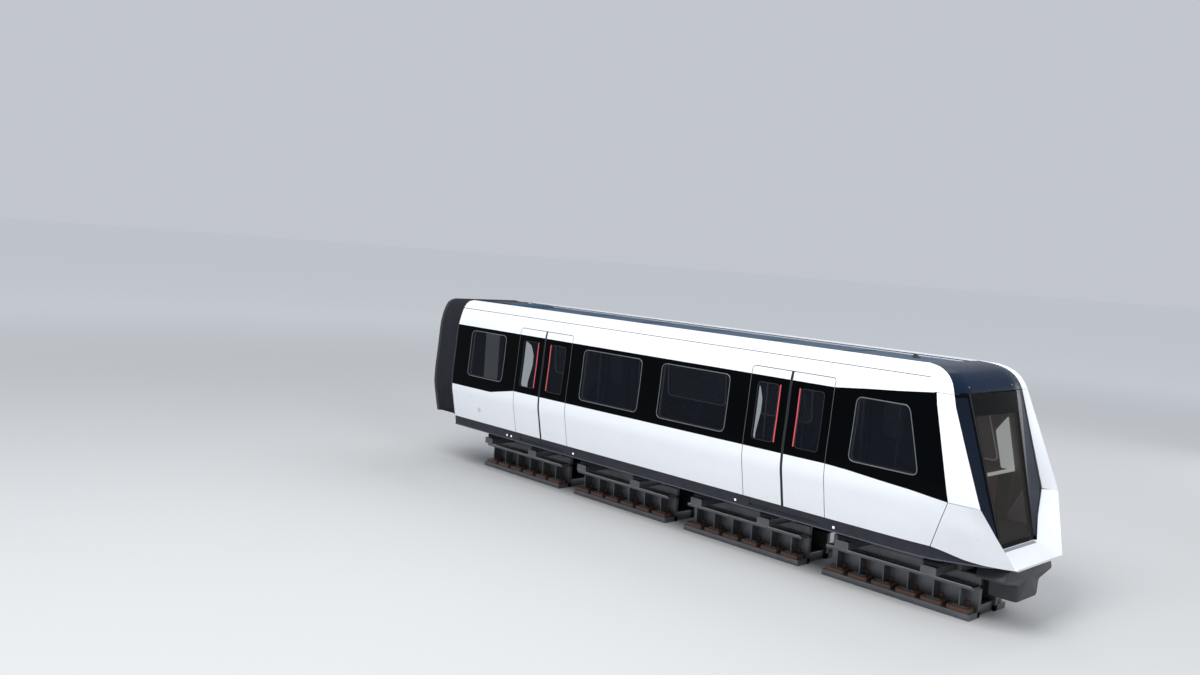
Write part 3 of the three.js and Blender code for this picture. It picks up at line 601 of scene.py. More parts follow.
# Each finish: its material, its colour or the name of the setting that holds it, its roughness, the
# record's slot that it belongs to, and how it differs from plain paint
FINISHES = {
    "white": ("body_white", "white", 0.30, "white_paint",
              dict(coat=0.25, mottle=0.02, grain=0.02, grain_scale=90, dust=0.16)),
    "band": ("band_gloss_black", "band", 0.10, "tinted_glass",
             dict(specular=0.1, ior=1.25, mottle=0.25, rough_spread=0.03)),
    "cap": ("cap_navy", "cap", 0.26, "cap_gloss",
            dict(specular=0.15, ior=1.25, mottle=0.12, rough_spread=0.04)),
    "glass": ("side_glass", "glass", 0.05, "tinted_glass",
              dict(specular=0.3, alpha=0.72, ior=1.25, mottle=0.15, rough_spread=0.02)),
    "screen": ("exit_glass", (0.022, 0.015, 0.012), 0.05, "tinted_glass",
               dict(specular=0.3, alpha=0.55, ior=1.25, mottle=0.15, rough_spread=0.02)),
    "screen_side": ("windscreen_glass", (0.004, 0.010, 0.024), 0.06, "tinted_glass",
                    dict(specular=0.3, alpha=0.85, ior=1.2, mottle=0.15, rough_spread=0.02)),
    "slate": ("slate_paint", "slate", 0.42, "skirt_slate",
              dict(specular=0.2, mottle=0.15, grain=0.05, grain_scale=140, dust=0.08)),
    "slate_lip": ("skirt_lip", "slate", 0.45, "skirt_slate", dict(tone=3, mottle=0.15, dust=0.15)),
    "deck": ("deck_grey_blue", "deck", 0.55, "roof_grey",
             dict(specular=0.1, mottle=0.12, grain=0.15, grain_scale=160)),
    "deck_rail": ("deck_rail_pale", (0.420, 0.450, 0.490), 0.4, "roof_grey",
                  dict(metallic=0.3, mottle=0.1)),
    "rubber": ("bellows_charcoal", "rubber", 0.72, "bellows_rubber",
               dict(specular=0.2, mottle=0.35, mottle_scale=5, grain=0.9, grain_scale=22,
                    stretch=(5, 1, 0.35))),
    "seal": ("seal_black", (0.016, 0.017, 0.020), 0.55, "bellows_rubber",
             dict(specular=0.3, mottle=0.2, grain=0.1)),
    "joint": ("joint_dark", (0.080, 0.080, 0.084), 0.6, "bellows_rubber",
              dict(specular=0.2, mottle=0.2)),
    "foot_plate": ("foot_plate_grey", (0.260, 0.270, 0.290), 0.35, "grab_steel",
                   dict(metallic=0.3, mottle=0.1, mottle_scale=6)),
    "window_line": ("window_line_grey", (0.170, 0.178, 0.188), 0.32, "grab_steel",
                    dict(metallic=0.4, mottle=0.15, mottle_scale=8)),
    # Pale trim with a glow that is a painted highlight, on the inner window trims and the roof unit's tip
    "trim": ("window_trim_pale", (0.700, 0.710, 0.720), 0.4, "grab_steel", dict(mottle=0.05, glow=0.25)),
    "lining": ("cabin_lining", (0.170, 0.170, 0.165), 0.5, "interior_panel",
               dict(mottle=0.06, grain=0.05)),
    # Draught screens: the glowing copy is painted sunlight on the near screens, and draught_shaded is the
    # same screen left plain for those in shade
    "draught": ("draught_screen", (0.560, 0.620, 0.680), 0.2, "interior_panel",
                dict(mottle=0.05, specular=0.4, glow=6.0)),
    "draught_shaded": ("draught_screen_shaded", (0.560, 0.620, 0.680), 0.2, "interior_panel",
                       dict(mottle=0.05, specular=0.4)),
    # Corner linings by the windscreen glow though no lamp lights them: painted sunlight on the pale patch, a
    # faint painted glow on the brown one
    "corner_pale": ("corner_lining_pale", (0.640, 0.680, 0.660), 0.45, "interior_panel",
                    dict(mottle=0.06, glow=1.8)),
    "corner_brown": ("corner_lining_brown", (0.130, 0.095, 0.080), 0.5, "interior_panel",
                     dict(mottle=0.2, mottle_scale=4, grain=0.05, glow=0.35)),
    "bulkhead": ("bulkhead_grey", (0.035, 0.035, 0.040), 0.5, "interior_panel", dict(grain=0.05)),
    "floor": ("floor_speckled", (0.090, 0.095, 0.105), 0.6, "floor_covering",
              dict(mottle=0.45, mottle_scale=180, grain=0.1)),
    "steel_dark": ("frame_dark", (0.030, 0.032, 0.038), 0.5, "frame_steel",
                   dict(metallic=0.3, mottle=0.3, mottle_scale=5, grain=0.1, grain_scale=120, dust=0.06)),
    "gear": ("gear_grey_steel", (0.150, 0.155, 0.165), 0.42, "gear_steel",
             dict(metallic=0.75, mottle=0.3, mottle_scale=6, grain=0.12, grain_scale=130)),
    "coil": ("coil_resin", (0.085, 0.042, 0.026), 0.38, "gear_steel",
             dict(mottle=0.25, mottle_scale=14, grain=0.2, grain_scale=300, stretch=(0.2, 1, 6))),
    "worn": ("worn_steel", (0.420, 0.420, 0.410), 0.28, "gear_steel",
             dict(metallic=1.0, mottle=0.25, mottle_scale=8, grain=0.2, grain_scale=90,
                  stretch=(0.1, 2, 2))),
    "bench": ("bench_moulded", (0.190, 0.030, 0.032), 0.45, "bench_plastic",
              dict(mottle=0.1, grain=0.2, grain_scale=350)),
    "brushed": ("grab_brushed", (0.620, 0.630, 0.640), 0.3, "grab_steel",
                dict(metallic=1.0, grain=0.1, grain_scale=400, stretch=(1, 1, 0.05))),
    "strip": ("door_strip_red", "strip", 0.3, "bench_plastic", dict(mottle=0.1, glow=0.15)),
    "strip_line": ("door_strip_line", (0.620, 0.170, 0.190), 0.3, "bench_plastic",
                   dict(mottle=0.1, glow=0.1)),
    "lamp": ("lamp_white", (0.850, 0.870, 0.900), 0.2, "grab_steel", dict(mottle=0.05, glow=0.5)),
    "ceiling_light": ("ceiling_light", (0.900, 0.900, 0.880), 0.4, "interior_panel",
                      dict(mottle=0.02, glow=0.5)),
}


def finish_of(name):
    """The material of a finish, in the colour that the scene's settings hold."""
    material, base, roughness, _, differences = FINISHES[name]
    if isinstance(base, str):
        base = tuple(getattr(bpy.context.scene.maglev_colours, base))
    return principled(material, base, roughness, **differences)


# Objects

def piece(name, parts, finishes, nodes="", body="car", slot="", bevel=0.0, sharp=32, bevel_from=35):
    """One object from closed parts: welded, smooth with sharp creases, riding on its body. The slot, given
    or the first finish's own, is worked out but not set on it."""
    finishes, nodes = finishes.split(), nodes.split()
    slot = slot or FINISHES[finishes[0]][3]
    starts = np.cumsum([0] + [len(points) for points, _, _ in parts])
    points = np.concatenate([part[0] for part in parts])
    faces = np.concatenate([part[1] + start for part, start in zip(parts, starts)])
    mesh = bpy.data.meshes.new(name)
    mesh.from_pydata(points.tolist(), [], faces.tolist())
    mesh.polygons.foreach_set("material_index", np.concatenate([part[2] for part in parts]).astype(np.int32))
    for finish in finishes:
        mesh.materials.append(finish_of(finish))
    work = bmesh.new()
    work.from_mesh(mesh)
    bmesh.ops.remove_doubles(work, verts=work.verts, dist=1e-5)
    work.to_mesh(mesh)
    work.free()
    mesh.polygons.foreach_set("use_smooth", np.ones(len(mesh.polygons), bool))
    mesh.set_sharp_from_angle(angle=np.radians(sharp))
    made = bpy.data.objects.new(name, mesh)
    bpy.context.scene.collection.objects.link(made)
    if bevel:
        edge = made.modifiers.new("Edges", "BEVEL")
        edge.width = bevel
        edge.segments = 2
        edge.limit_method = "ANGLE"
        edge.angle_limit = np.radians(bevel_from)
        edge.harden_normals = True
    if body:
        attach(made, body)
    if nodes:
        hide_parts(*nodes)
    return made


def sizes():
    """The scene's settings for sizes."""
    return bpy.context.scene.maglev_sizes


# Sides

def seam_x(z):
    """Front edge of the side wall: the slanted seam up to the level joint, then the pillar's rear edge."""
    lower = SEAM_FOOT + (z - SILL) / (LEVEL_JOINT - SILL) * (SEAM_HEAD - SEAM_FOOT)
    upper = SEAM_HEAD + (z - LEVEL_JOINT) / (PILLAR_TOP - LEVEL_JOINT) * (PILLAR_TOP_X - SEAM_HEAD)
    return np.where(z < LEVEL_JOINT, lower, upper)


def belt_z(x):
    """Height of the belt line, where white meets the black band."""
    return np.interp(x, *BELT_LINE)


def band_top_z(x):
    """Height of the band's top."""
    return np.interp(x, *BAND_TOP_LINE)


def panel_ends(gap):
    """Rear and front edge of the three stretches of wall between the doors, None at the seam."""
    rear, front = DOORS["rear"], DOORS["front"]
    return [("rear", 0.0, rear[0] - gap), ("middle", rear[2] + gap, front[0] - gap),
            ("front", front[2] + gap, None)]


def lower_panel(x0, x1, side, gap):
    """White wall from the sill to the belt line. Columns share out the way to its front edge, which
    leans where the wall ends at the seam, and rows share out the way up to the belt line."""
    end = x1 or SEAM_HEAD
    bends = [b for b in BELT_LINE[0] if x0 < b < end]
    x = lines(x0, end, extra=bends, step=COLUMN_STEP if x1 else FRONT_STEP)
    share = np.linspace(0, 1, 12)[None]
    station, z = np.broadcast_arrays(x[:, None], 0.5 + 0 * share)
    for _ in range(3):
        if x1 is None:
            station = x0 + (x[:, None] - x0) / (SEAM_HEAD - x0) * (seam_x(z) - gap / 2 - x0)
        z = SILL + share * (belt_z(station) - SILL)
    return wall(flank_points(station, z, side), WALL, finishes=(0, 1))


def lean(x, z):
    """Stations of the front stretch of the band: its columns turn evenly from the upright rear edge to
    the window's edges and on to the seam."""
    up = (z - WINDOW_BOTTOM) / (WINDOW_TOP - WINDOW_BOTTOM)
    start = DOORS["front"][2]
    foot = [start, *WINDOWS["front"], SEAM_HEAD]
    shown = [start, *(a + up * (b - a) for a, b in zip(WINDOWS["front"], FRONT_WINDOW_TOP)), seam_x(z)]
    out = x
    for i in range(3):
        part = shown[i] + (x - foot[i]) / (foot[i + 1] - foot[i]) * (shown[i + 1] - shown[i])
        out = np.where(x > foot[i], part, out)
    return out


def band_place(x, z, front):
    """Where a grid point of the band lies: heights below the windows spread down to the belt line, and
    those above them up to the band's top."""
    station, height = x, z
    for _ in range(3):
        station = lean(x, height) if front else x
        low, high = belt_z(station), band_top_z(station)
        below = low + (z - BELT) / (WINDOW_BOTTOM - BELT) * (WINDOW_BOTTOM - low)
        above = WINDOW_TOP + (z - WINDOW_TOP) / (BAND_TOP - WINDOW_TOP) * (high - WINDOW_TOP)
        height = np.where(z < WINDOW_BOTTOM, below, np.where(z > WINDOW_TOP, above, z))
    return station, height


def band_panel(x0, x1, side, gap):
    """Black wall from the belt line to the band's top, with a round-cornered hole for each window."""
    front = x1 is None
    x1 = SEAM_HEAD - gap / 2 if front else x1
    holes = [(a, b, WINDOW_BOTTOM, WINDOW_TOP) for a, b in WINDOWS.values() if x0 < a and b < x1]
    edges = [(place, way) for hole in holes for place, way in zip(hole, (-1, 1))]
    bends = [b for b in (*BELT_LINE[0], *BAND_TOP_LINE[0]) if x0 < b < x1]
    x = lines(x0, x1, edges, WINDOW_RADIUS, extra=bends, step=FRONT_STEP if front else COLUMN_STEP)
    z = lines(BELT, BAND_TOP, [(WINDOW_BOTTOM, -1), (WINDOW_TOP, 1)], WINDOW_RADIUS, step=0.12)
    keep = np.ones((len(x) - 1, len(z) - 1), bool)
    grid_x, grid_z = grid(x, z)
    for hole in holes:
        keep &= ~cells_in(x, z, hole)
        grid_x, grid_z = round_hole(grid_x, grid_z, hole, WINDOW_RADIUS)
    station, height = band_place(grid_x, grid_z, front)
    return wall(flank_points(station, height, side), WALL, keep, finishes=(0, 1))


def window_outline(name, inset):
    """The outline (x, z) of a window, inset from the hole."""
    x0, x1 = WINDOWS[name]
    corners = oblong(x0 + inset, x1 - inset, WINDOW_BOTTOM + inset, WINDOW_TOP - inset)
    outline = dense(rounded(corners, WINDOW_RADIUS * 1.25 - inset / 2, 9), 0.12)
    if name == "front":
        outline[:, 0] = lean(*outline.T)
    return outline


def pane_grid(box, radius, gap, side, thickness, slanted=False):
    """A pane as a grid with rounded corners, gap smaller than its hole all round, and set in a little."""
    x0, x1, z0, z1 = np.add(box, (gap, -gap, gap, -gap))
    radius -= gap
    across = lines(x0, x1, [(x0, -1), (x1, 1)], radius)
    up = lines(z0, z1, [(z0, -1), (z1, 1)], radius, step=0.15)
    grid_x, grid_z = round_hole(*grid(across, up), (x0, x1, z0, z1), radius)
    if slanted:
        grid_x = lean(grid_x, grid_z)
    return wall(flank_points(grid_x, grid_z, side), thickness, depth=PANE_DEPTH)


def arch_grid(side, gap):
    """White upper wall and roof edge. Columns run to NOSE_START at set stations, then share out the
    way round to the crease and on to the reveal. Rows run from the band's top to the pillar's top and
    on along the arch, dipping into the groove and the joints of the roof edge."""
    door_edges = [(e, w) for d in DOORS.values() for e, w in ((d[0] - gap, -1), (d[2] + gap, 1))]
    straight = lines(0.0, NOSE_START, door_edges, DOOR_RADIUS,
                     extra=[9.85, *[j + d for j in ROOF_JOINTS for d in (-0.006, -0.004, 0.004, 0.006)]])
    turning = [*np.linspace(4, 3, 15)[1:], *np.linspace(3, 2, 3)[1:]]
    door_head = DOOR_TOP + gap
    wall_rows = lines(BAND_TOP, PILLAR_TOP, [(door_head, 1)], DOOR_RADIUS, step=0.03)
    groove = np.interp(GROOVE_Z, LEVELS[-5:, 0], COURSES[-5:])
    dips = [groove + d for d in (-0.007, -0.005, 0.005, 0.007)]
    rows = np.concatenate([wall_rows, lines(PILLAR_TOP, ARCH_TOP, extra=dips, step=0.03)[1:]])
    x = np.concatenate([straight, NOSE_START + (4 - np.array(turning))])
    grid_x, grid_z = grid(x, rows)
    keep = np.ones((len(x) - 1, len(rows) - 1), bool)
    for rear, _, front in DOORS.values():
        keep &= ~cells_in(x, rows, (rear - gap, front + gap, 0, door_head))
        for centre, way in ((rear - gap + DOOR_RADIUS, -1), (front + gap - DOOR_RADIUS, 1)):
            grid_x, grid_z = round_corner(grid_x, grid_z, (centre, door_head - DOOR_RADIUS),
                                          (way, 1), DOOR_RADIUS, reach=1.4)
    flat = np.minimum(grid_x, NOSE_START)
    u = np.where(grid_x > NOSE_START, 4 - (grid_x - NOSE_START), 4)
    course = grid_z
    for _ in range(3):
        crease = level("crease_x", course)
        station = np.where(u >= 4, flat, NOSE_START + np.minimum(4 - u, 1) * (crease - NOSE_START))
        foot = band_top_z(station)
        share = np.clip((grid_z - BAND_TOP) / (PILLAR_TOP - BAND_TOP), 0, 1)
        course = np.where(grid_z < PILLAR_TOP, foot + share * (PILLAR_TOP - foot), grid_z)
    keep &= ~((station[1:, 1:] > PILLAR_TOP_X) & (grid_z[1:, 1:] < PILLAR_TOP + 1e-6))
    nose_u = side * np.clip(u, 2, 4)
    outer = np.where((u >= 4)[..., None], flank_points(station, course, side), nose_points(nose_u, course))
    lip = outer[:, -1:] - [0, side * ROOF_LIP, ROOF_LIP_FALL]
    outer = np.concatenate([outer, lip], 1)
    keep = np.pad(keep, ((0, 0), (0, 1)), constant_values=True)
    normal = outward(outer)
    nose_u, course = (np.pad(values, ((0, 0), (0, 1)), "edge") for values in (nose_u, course))
    inner = outer - normal * thin_at_crease(outer, nose_u, course, WALL * 0.8)
    inner[:, -1] = outer[:, -1] - [0, 0, 0.02]
    cut = (np.abs(grid_z - groove) < 0.006) & (station < GROOVE_END) & (u > 3)
    for joint in ROOF_JOINTS:
        cut |= (np.abs(station - joint) < 0.005) & (grid_z > groove) & (u >= 4)
    cut = np.pad(cut, ((0, 0), (0, 1)))
    bottom = cut[:-1, :-1] & cut[1:, :-1] & cut[:-1, 1:] & cut[1:, 1:]
    return between(outer - normal * GROOVE_DEPTH * cut[..., None], inner, keep, (0, 1), 2 * bottom)


class MAGLEV_OT_sides(bpy.types.Operator):
    """White lower walls, black window band, and white roof edge of both sides"""
    bl_idname = "maglev.sides"
    bl_label = "Side Walls"

    def execute(self, context):
        gap, edge = sizes().panel_gap, sizes().edge_round
        for name, side in SIDES.items():
            node = f"side_wall_{name}"
            for stretch, x0, x1 in panel_ends(gap / 2):
                lower, band = lower_panel(x0, x1, side, gap), band_panel(x0, x1, side, gap)
                piece(f"lower_wall_{stretch}_{name}", [lower], "white lining", node, bevel=edge)
                piece(f"window_band_{stretch}_{name}", [band], "band lining", node, bevel=edge)
            piece(f"roof_edge_{name}", [arch_grid(side, gap / 2)], "white lining joint", node, bevel=edge)
        return {"FINISHED"}


class MAGLEV_OT_windows(bpy.types.Operator):
    """Bonded side panes with their grey lines, the inner window trims, and the release cover"""
    bl_idname = "maglev.windows"
    bl_label = "Side Windows"

    def execute(self, context):
        half = sizes().seal_width / 2
        line, trim = ridge(half, -0.006, 0.001, 0.003), oblong(-0.010, 0.010, -0.010, 0.010)
        ring = oblong(-0.004, 0.004, -0.006, 0.001)
        cover = circle(COVER_RADIUS, 32) + RELEASE_COVER
        key = rounded(oblong(-0.012, 0.012, -0.006, 0.006) + RELEASE_COVER, 0.003, 3)
        for name, side in SIDES.items():
            rings = [on_flank(cover, side, ring), on_flank(key, side, ring, finish=1)]
            piece(f"release_cover_{name}", rings, "foot_plate joint")
            for window, ends in WINDOWS.items():
                pane = pane_grid((*ends, WINDOW_BOTTOM, WINDOW_TOP), WINDOW_RADIUS, 0.004, side, 0.020,
                                 slanted=window == "front")
                piece(f"pane_{window}_{name}", [pane], "glass", f"window_{window}_{name}")
                # The inner trim's glowing finish is a painted highlight round each window
                rings = [on_flank(window_outline(window, half + 0.002), side, line),
                         on_flank(window_outline(window, 0.012), side, trim, depth=0.065, finish=1)]
                piece(f"window_line_{window}_{name}", rings, "window_line trim")
        return {"FINISHED"}


# Doors

def leaf(door, which, side, gap, middle_seal):
    """One door leaf as one grid: rows up to the belt line and above the band are white, those between
    are black, with a round-cornered hole for the pane and a round upper outer corner."""
    rear, middle, front = DOORS[door]
    at_rear = which == "rear"
    x0, x1 = ((rear + gap / 2, middle - middle_seal / 2) if at_rear
              else (middle + middle_seal / 2, front - gap / 2))
    outer_edge, way = (x0, -1) if at_rear else (x1, 1)
    head = DOOR_TOP - gap / 2
    pane = leaf_pane(door, which)
    radius, corner = DOOR_PANE["radius"], DOOR_RADIUS - gap
    x = np.unique(np.concatenate([lines(x0, x1, [(pane[0], -1), (pane[1], 1)], radius),
                                  lines(x0, x1, [(outer_edge, way)], corner, step=1.0)]).round(5))
    z = np.unique(np.concatenate([
        lines(SILL, BELT, step=0.08), lines(BELT, BAND_TOP, [(pane[2], -1), (pane[3], 1)], radius),
        lines(BAND_TOP, head, [(head, 1)], corner)]).round(5))
    grid_x, grid_z = round_hole(*grid(x, z), pane, radius)
    centre = (outer_edge - way * corner, head - corner)
    grid_x, grid_z = round_corner(grid_x, grid_z, centre, (way, 1), corner)
    outer = flank_points(grid_x, grid_z, side)
    points, faces, finish = wall(outer, WALL * 0.75, ~cells_in(x, z, pane), (0, 2))
    height = points[faces].mean(1)[:, 2] - ORIGIN[2]
    black = (height > BELT) & (height < BAND_TOP) & (finish == 0)
    return points, faces, np.where(black, 1, finish)


def leaf_pane(door, which):
    """The pane's hole in a leaf: (x0, x1, z0, z1)."""
    rear, middle, front = DOORS[door]
    outer, inner, *heights, _ = DOOR_PANE.values()
    ends = (rear + outer, middle - inner) if which == "rear" else (middle + inner, front - outer)
    return (*ends, *heights)


class MAGLEV_OT_doors(bpy.types.Operator):
    """Door leaves with their panes, rubber seals and red strips"""
    bl_idname = "maglev.doors"
    bl_label = "Side Doors"

    def execute(self, context):
        reach = sizes().panel_gap * 0.6
        around = oblong(-reach, reach, -0.040, -0.003)
        for name, side in SIDES.items():
            for door, (rear, _, front) in DOORS.items():
                for which, way in (("rear", -1), ("front", 1)):
                    self.leaf_pieces(f"door_{door}_{name}_{which}", door, which, way, side)
                path = rounded([(rear, SILL), (rear, DOOR_TOP), (front, DOOR_TOP), (front, SILL)],
                               DOOR_RADIUS * 1.25, 7, closed=False)
                seal = on_flank(dense(path, 0.06, closed=False), side, around, closed=False)
                piece(f"door_seal_{door}_{name}", [seal], "joint")
        return {"FINISHED"}

    def leaf_pieces(self, node, door, which, way, side):
        """Panel, pane and its seal, the red strip with its bright line, and half of the middle seal."""
        half_seal = sizes().door_seal / 2
        panel = leaf(door, which, side, sizes().panel_gap, 2 * half_seal)
        piece(f"{node}_panel", [panel], "white band lining", f"{node}_leaf", bevel=sizes().edge_round)
        pane, radius = leaf_pane(door, which), DOOR_PANE["radius"]
        piece(f"{node}_glass", [pane_grid(pane, radius, 0.003, side, 0.018)], "glass", f"{node}_pane")
        outline = dense(rounded(oblong(*pane), radius * 1.2, 7), 0.12)
        line = on_flank(outline, side, oblong(-0.005, 0.005, -0.006, 0.001))
        piece(f"{node}_pane_seal", [line], "seal", slot="tinted_glass")
        middle = DOORS[door][1]
        offset, foot, head = STRIP_PLACE
        run = middle + way * offset, foot, head, side
        bright = [(-0.004, 0.0010), (0.004, 0.0010), (0.003, 0.0040), (-0.003, 0.0040)]
        strips = [upright(*run, ridge(sizes().strip_width / 2, -0.002, 0.0010, 0.0022)),
                  upright(*run, bright, 1)]
        piece(f"{node}_strip", strips, "strip strip_line")
        ends = (-half_seal, -0.0015) if way < 0 else (0.0015, half_seal)
        lip = upright(middle, SILL, DOOR_TOP, side, oblong(*ends, -0.045, 0.0) * (side, 1))
        piece(f"{node}_middle_seal", [lip], "seal")


# Nose

def thin_at_crease(points, u, course, most):
    """Wall thickness at points of the nose: most of it, falling to a thin edge along the sharp crease,
    so that the inner side stays inside."""
    away = np.linalg.norm(points - nose_points(np.where(u < 0, -3.0, 3.0), course), axis=-1)
    return np.minimum(most, 0.003 + 0.35 * away)[..., None]


def nose_shell(u, course, keep=None):
    """A wall of the nose, thinner towards its crease."""
    points = nose_points(u, course)
    return wall(points, thin_at_crease(points, u, course, NOSE_WALL), keep)


def from_seam(share, course, gap):
    """u on one side of the nose, for shares that rise from 0 at the seam to 1 at the crease, 2 at the
    reveal and 4 in the middle."""
    start = 4 - (seam_x(course) + gap / 2 - NOSE_START) / (level("crease_x", course) - NOSE_START)
    return np.where(share <= 1, start + share * (3 - start), 4 - share)


class MAGLEV_OT_nose(bpy.types.Operator):
    """White pillars and lower panel of the nose, its blank ledge, the navy cap, and the cap's dots"""
    bl_idname = "maglev.nose"
    bl_label = "Nose Shell"

    def execute(self, context):
        gap = sizes().panel_gap
        rows = [*np.linspace(LEVEL_JOINT + gap / 2, PILLAR_TOP - gap / 2, 14), *LEVELS[5:8, 0]]
        share, course = grid([*np.linspace(0, 1, 8)[:-1], *ROUND_CREASE], np.unique(rows))
        u = from_seam(share, course, gap)
        for name, side in SIDES.items():
            piece(f"nose_pillar_panel_{name}", [nose_shell(side * u, course)], "white",
                  f"nose_pillar_{name}", bevel=0.005, bevel_from=60)
        self.lower_panel(gap)
        self.cap(gap)
        return {"FINISHED"}

    def lower_panel(self, gap):
        """Cheeks and chin as one grid: columns from the right seam round to the left one, and rows from
        the chin line up, with the windscreen's foot left open."""
        half = np.array([*np.linspace(0, 1, 10)[:-1], *ROUND_CREASE, 2.5, 3.0, 3.5, 4.0])
        rows = np.array([*np.linspace(LEVELS[0, 0], GLASS_FOOT, 6), 0.30, 0.38, 0.45, 0.53, 0.60, 0.68,
                         0.76, LEVEL_JOINT - gap / 2])
        along, fixed = grid(np.concatenate([half, half[-2::-1]]), rows)
        side = np.where(np.arange(len(along)) < len(half), -1.0, 1.0)[:, None]
        course = fixed
        for _ in range(5):
            u = from_seam(along, course, gap)
            foot = np.interp(nose_points(u, course)[..., 0] - ORIGIN[0], *CHIN_LINE)
            up = (fixed - rows[0]) / (GLASS_FOOT - rows[0])
            course = np.where(fixed < GLASS_FOOT, foot + up * (GLASS_FOOT - foot), fixed)
        middle = (along[:-1] + along[1:])[:, :-1] / 2
        keep = ~((middle > 2) & (rows[:-1] > GLASS_FOOT - 1e-6))
        piece("nose_lower_shell", [nose_shell(side * u, course, keep)], "white", "nose_lower_panel",
              bevel=0.005, bevel_from=60)
        ledge = nose_points(*grid(np.linspace(-0.97, 0.97, 9), np.linspace(*LEDGE, 3)))
        piece("nose_foot_strip", [wall(ledge, 0.008, depth=-0.004)], "foot_plate", bevel=0.001)

    def cap(self, gap):
        """Navy cap: columns from reveal to reveal, rows from the pillar's top along the arch, and a last
        row that runs back to the deck."""
        u = [*np.linspace(-2, -1, 6), *np.linspace(-1, 1, 13)[1:], *np.linspace(1, 2, 6)[1:]]
        grid_u, course = grid(u, lines(PILLAR_TOP + gap / 2, ARCH_TOP, step=0.025))
        inset = np.sign(grid_u) * np.where(np.abs(grid_u) > 1.9, 0.03, 0)
        points = nose_points(grid_u - inset, course)
        back = points[:, -1:].copy()
        back[..., 0] = ORIGIN[0] + CAP_REAR
        shell = wall(np.concatenate([points, back], 1), 0.045)
        piece("roof_cap_shell", [shell], "cap", "roof_cap", bevel=0.004)
        dot = [(0, 0.004), (0.010, 0.004), (0.014, 0.002), (0.014, -0.010), (0, -0.010)]
        x, y, z = CAP_DOT
        dots = [turned(dot, (x, way * y, z), axis=0, count=20) for way in (-1, 1)]
        piece("roof_cap_sensors", dots, "window_line")


def glass_band(u0, u1, z0, z1, depth, thickness):
    """Frame and pane of one stretch of the windscreen, as grids of u and height: the frame is the
    outer ring of cells and the pane is what it leaves."""
    rim_u, rim_z = 0.07, 0.05
    u = [u0, *np.linspace(u0 + rim_u, u1 - rim_u, 7), u1]
    z = [z0, z0 + rim_z, *[row for row in LEVELS[:, 0] if z0 + rim_z < row < z1 - rim_z], z1 - rim_z, z1]
    points = nose_points(*grid(u, z))
    ring = np.ones((len(u) - 1, len(z) - 1), bool)
    ring[1:-1, 1:-1] = False
    return (wall(points, thickness, ring, depth=depth),
            wall(points, thickness * 0.6 - 0.003, ~ring, depth=depth + 0.003))


class MAGLEV_OT_windscreen(bpy.types.Operator):
    """Windscreen panes, their posts, and the middle pane that opens as the front exit"""
    bl_idname = "maglev.windscreen"
    bl_label = "Windscreen"

    def execute(self, context):
        heights = np.array([FLOOR_TOP + 0.002, *LEVELS[3:8, 0], PILLAR_TOP - 0.002])
        profile = rounded(oblong(-0.025, 0.025, -0.028, 0.026), 0.010, 3)
        for name, side in SIDES.items():
            ends = sorted((side * 1.02, side * 1.97))
            rim, pane = glass_band(*ends, GLASS_FOOT + 0.004, PILLAR_TOP - 0.004, 0.003, 0.022)
            node = f"windscreen_{name}"
            piece(f"windscreen_rim_{name}", [rim], "band", node, bevel=0.002)
            piece(f"windscreen_pane_{name}", [pane], "screen_side", node)
            post = sweep(nose_points(side, heights) + (-0.055, side * 0.030, 0), (0, 1, 0), (1, 0, 0),
                         profile)
            piece(f"windscreen_post_bar_{name}", [post], "steel_dark", f"windscreen_post_{name}")
        self.exit_door()
        return {"FINISHED"}

    def exit_door(self):
        """The middle pane: a frame and its glass, with the clearance taken off each side as a share of
        the pane's half width, a black band at its head, and the hinge rod along its right edge."""
        share = 1 - EXIT_CLEARANCE / 0.65
        rim, pane = glass_band(-share, share, EXIT_FOOT, EXIT_HEAD, 0.0, 0.038)
        head = nose_points(*grid(np.linspace(0.07 - share, share - 0.07, 9),
                                 np.linspace(EXIT_HEAD - 0.29, EXIT_HEAD - 0.052, 4)))
        sun_band = wall(head, 0.0022, depth=0.0004)
        for part, made, finish, edge in (("frame", rim, "band", 0.002), ("glass", pane, "screen", 0),
                                         ("sun_band", sun_band, "band", 0)):
            piece(f"front_exit_{part}", [made], finish, "front_exit_door", "front_exit", bevel=edge)
        joint = next(j for j in frame["joints"] if j["name"] == "front_exit_swing")
        axis = -np.array(joint["axis"])
        reach = (EXIT_HEAD - EXIT_FOOT) / axis[2]
        path = np.array(joint["pos_m"]) + np.array([[-0.007], [reach + 0.010]]) * axis
        across = np.cross(axis, [0.0, 1, 0])
        across /= np.linalg.norm(across)
        rod = sweep(path, across, np.cross(axis, across), circle(0.009, 16))
        piece("front_exit_hinge", [rod], "seal", "front_exit_door", "front_exit", slot="frame_steel")


# Roof

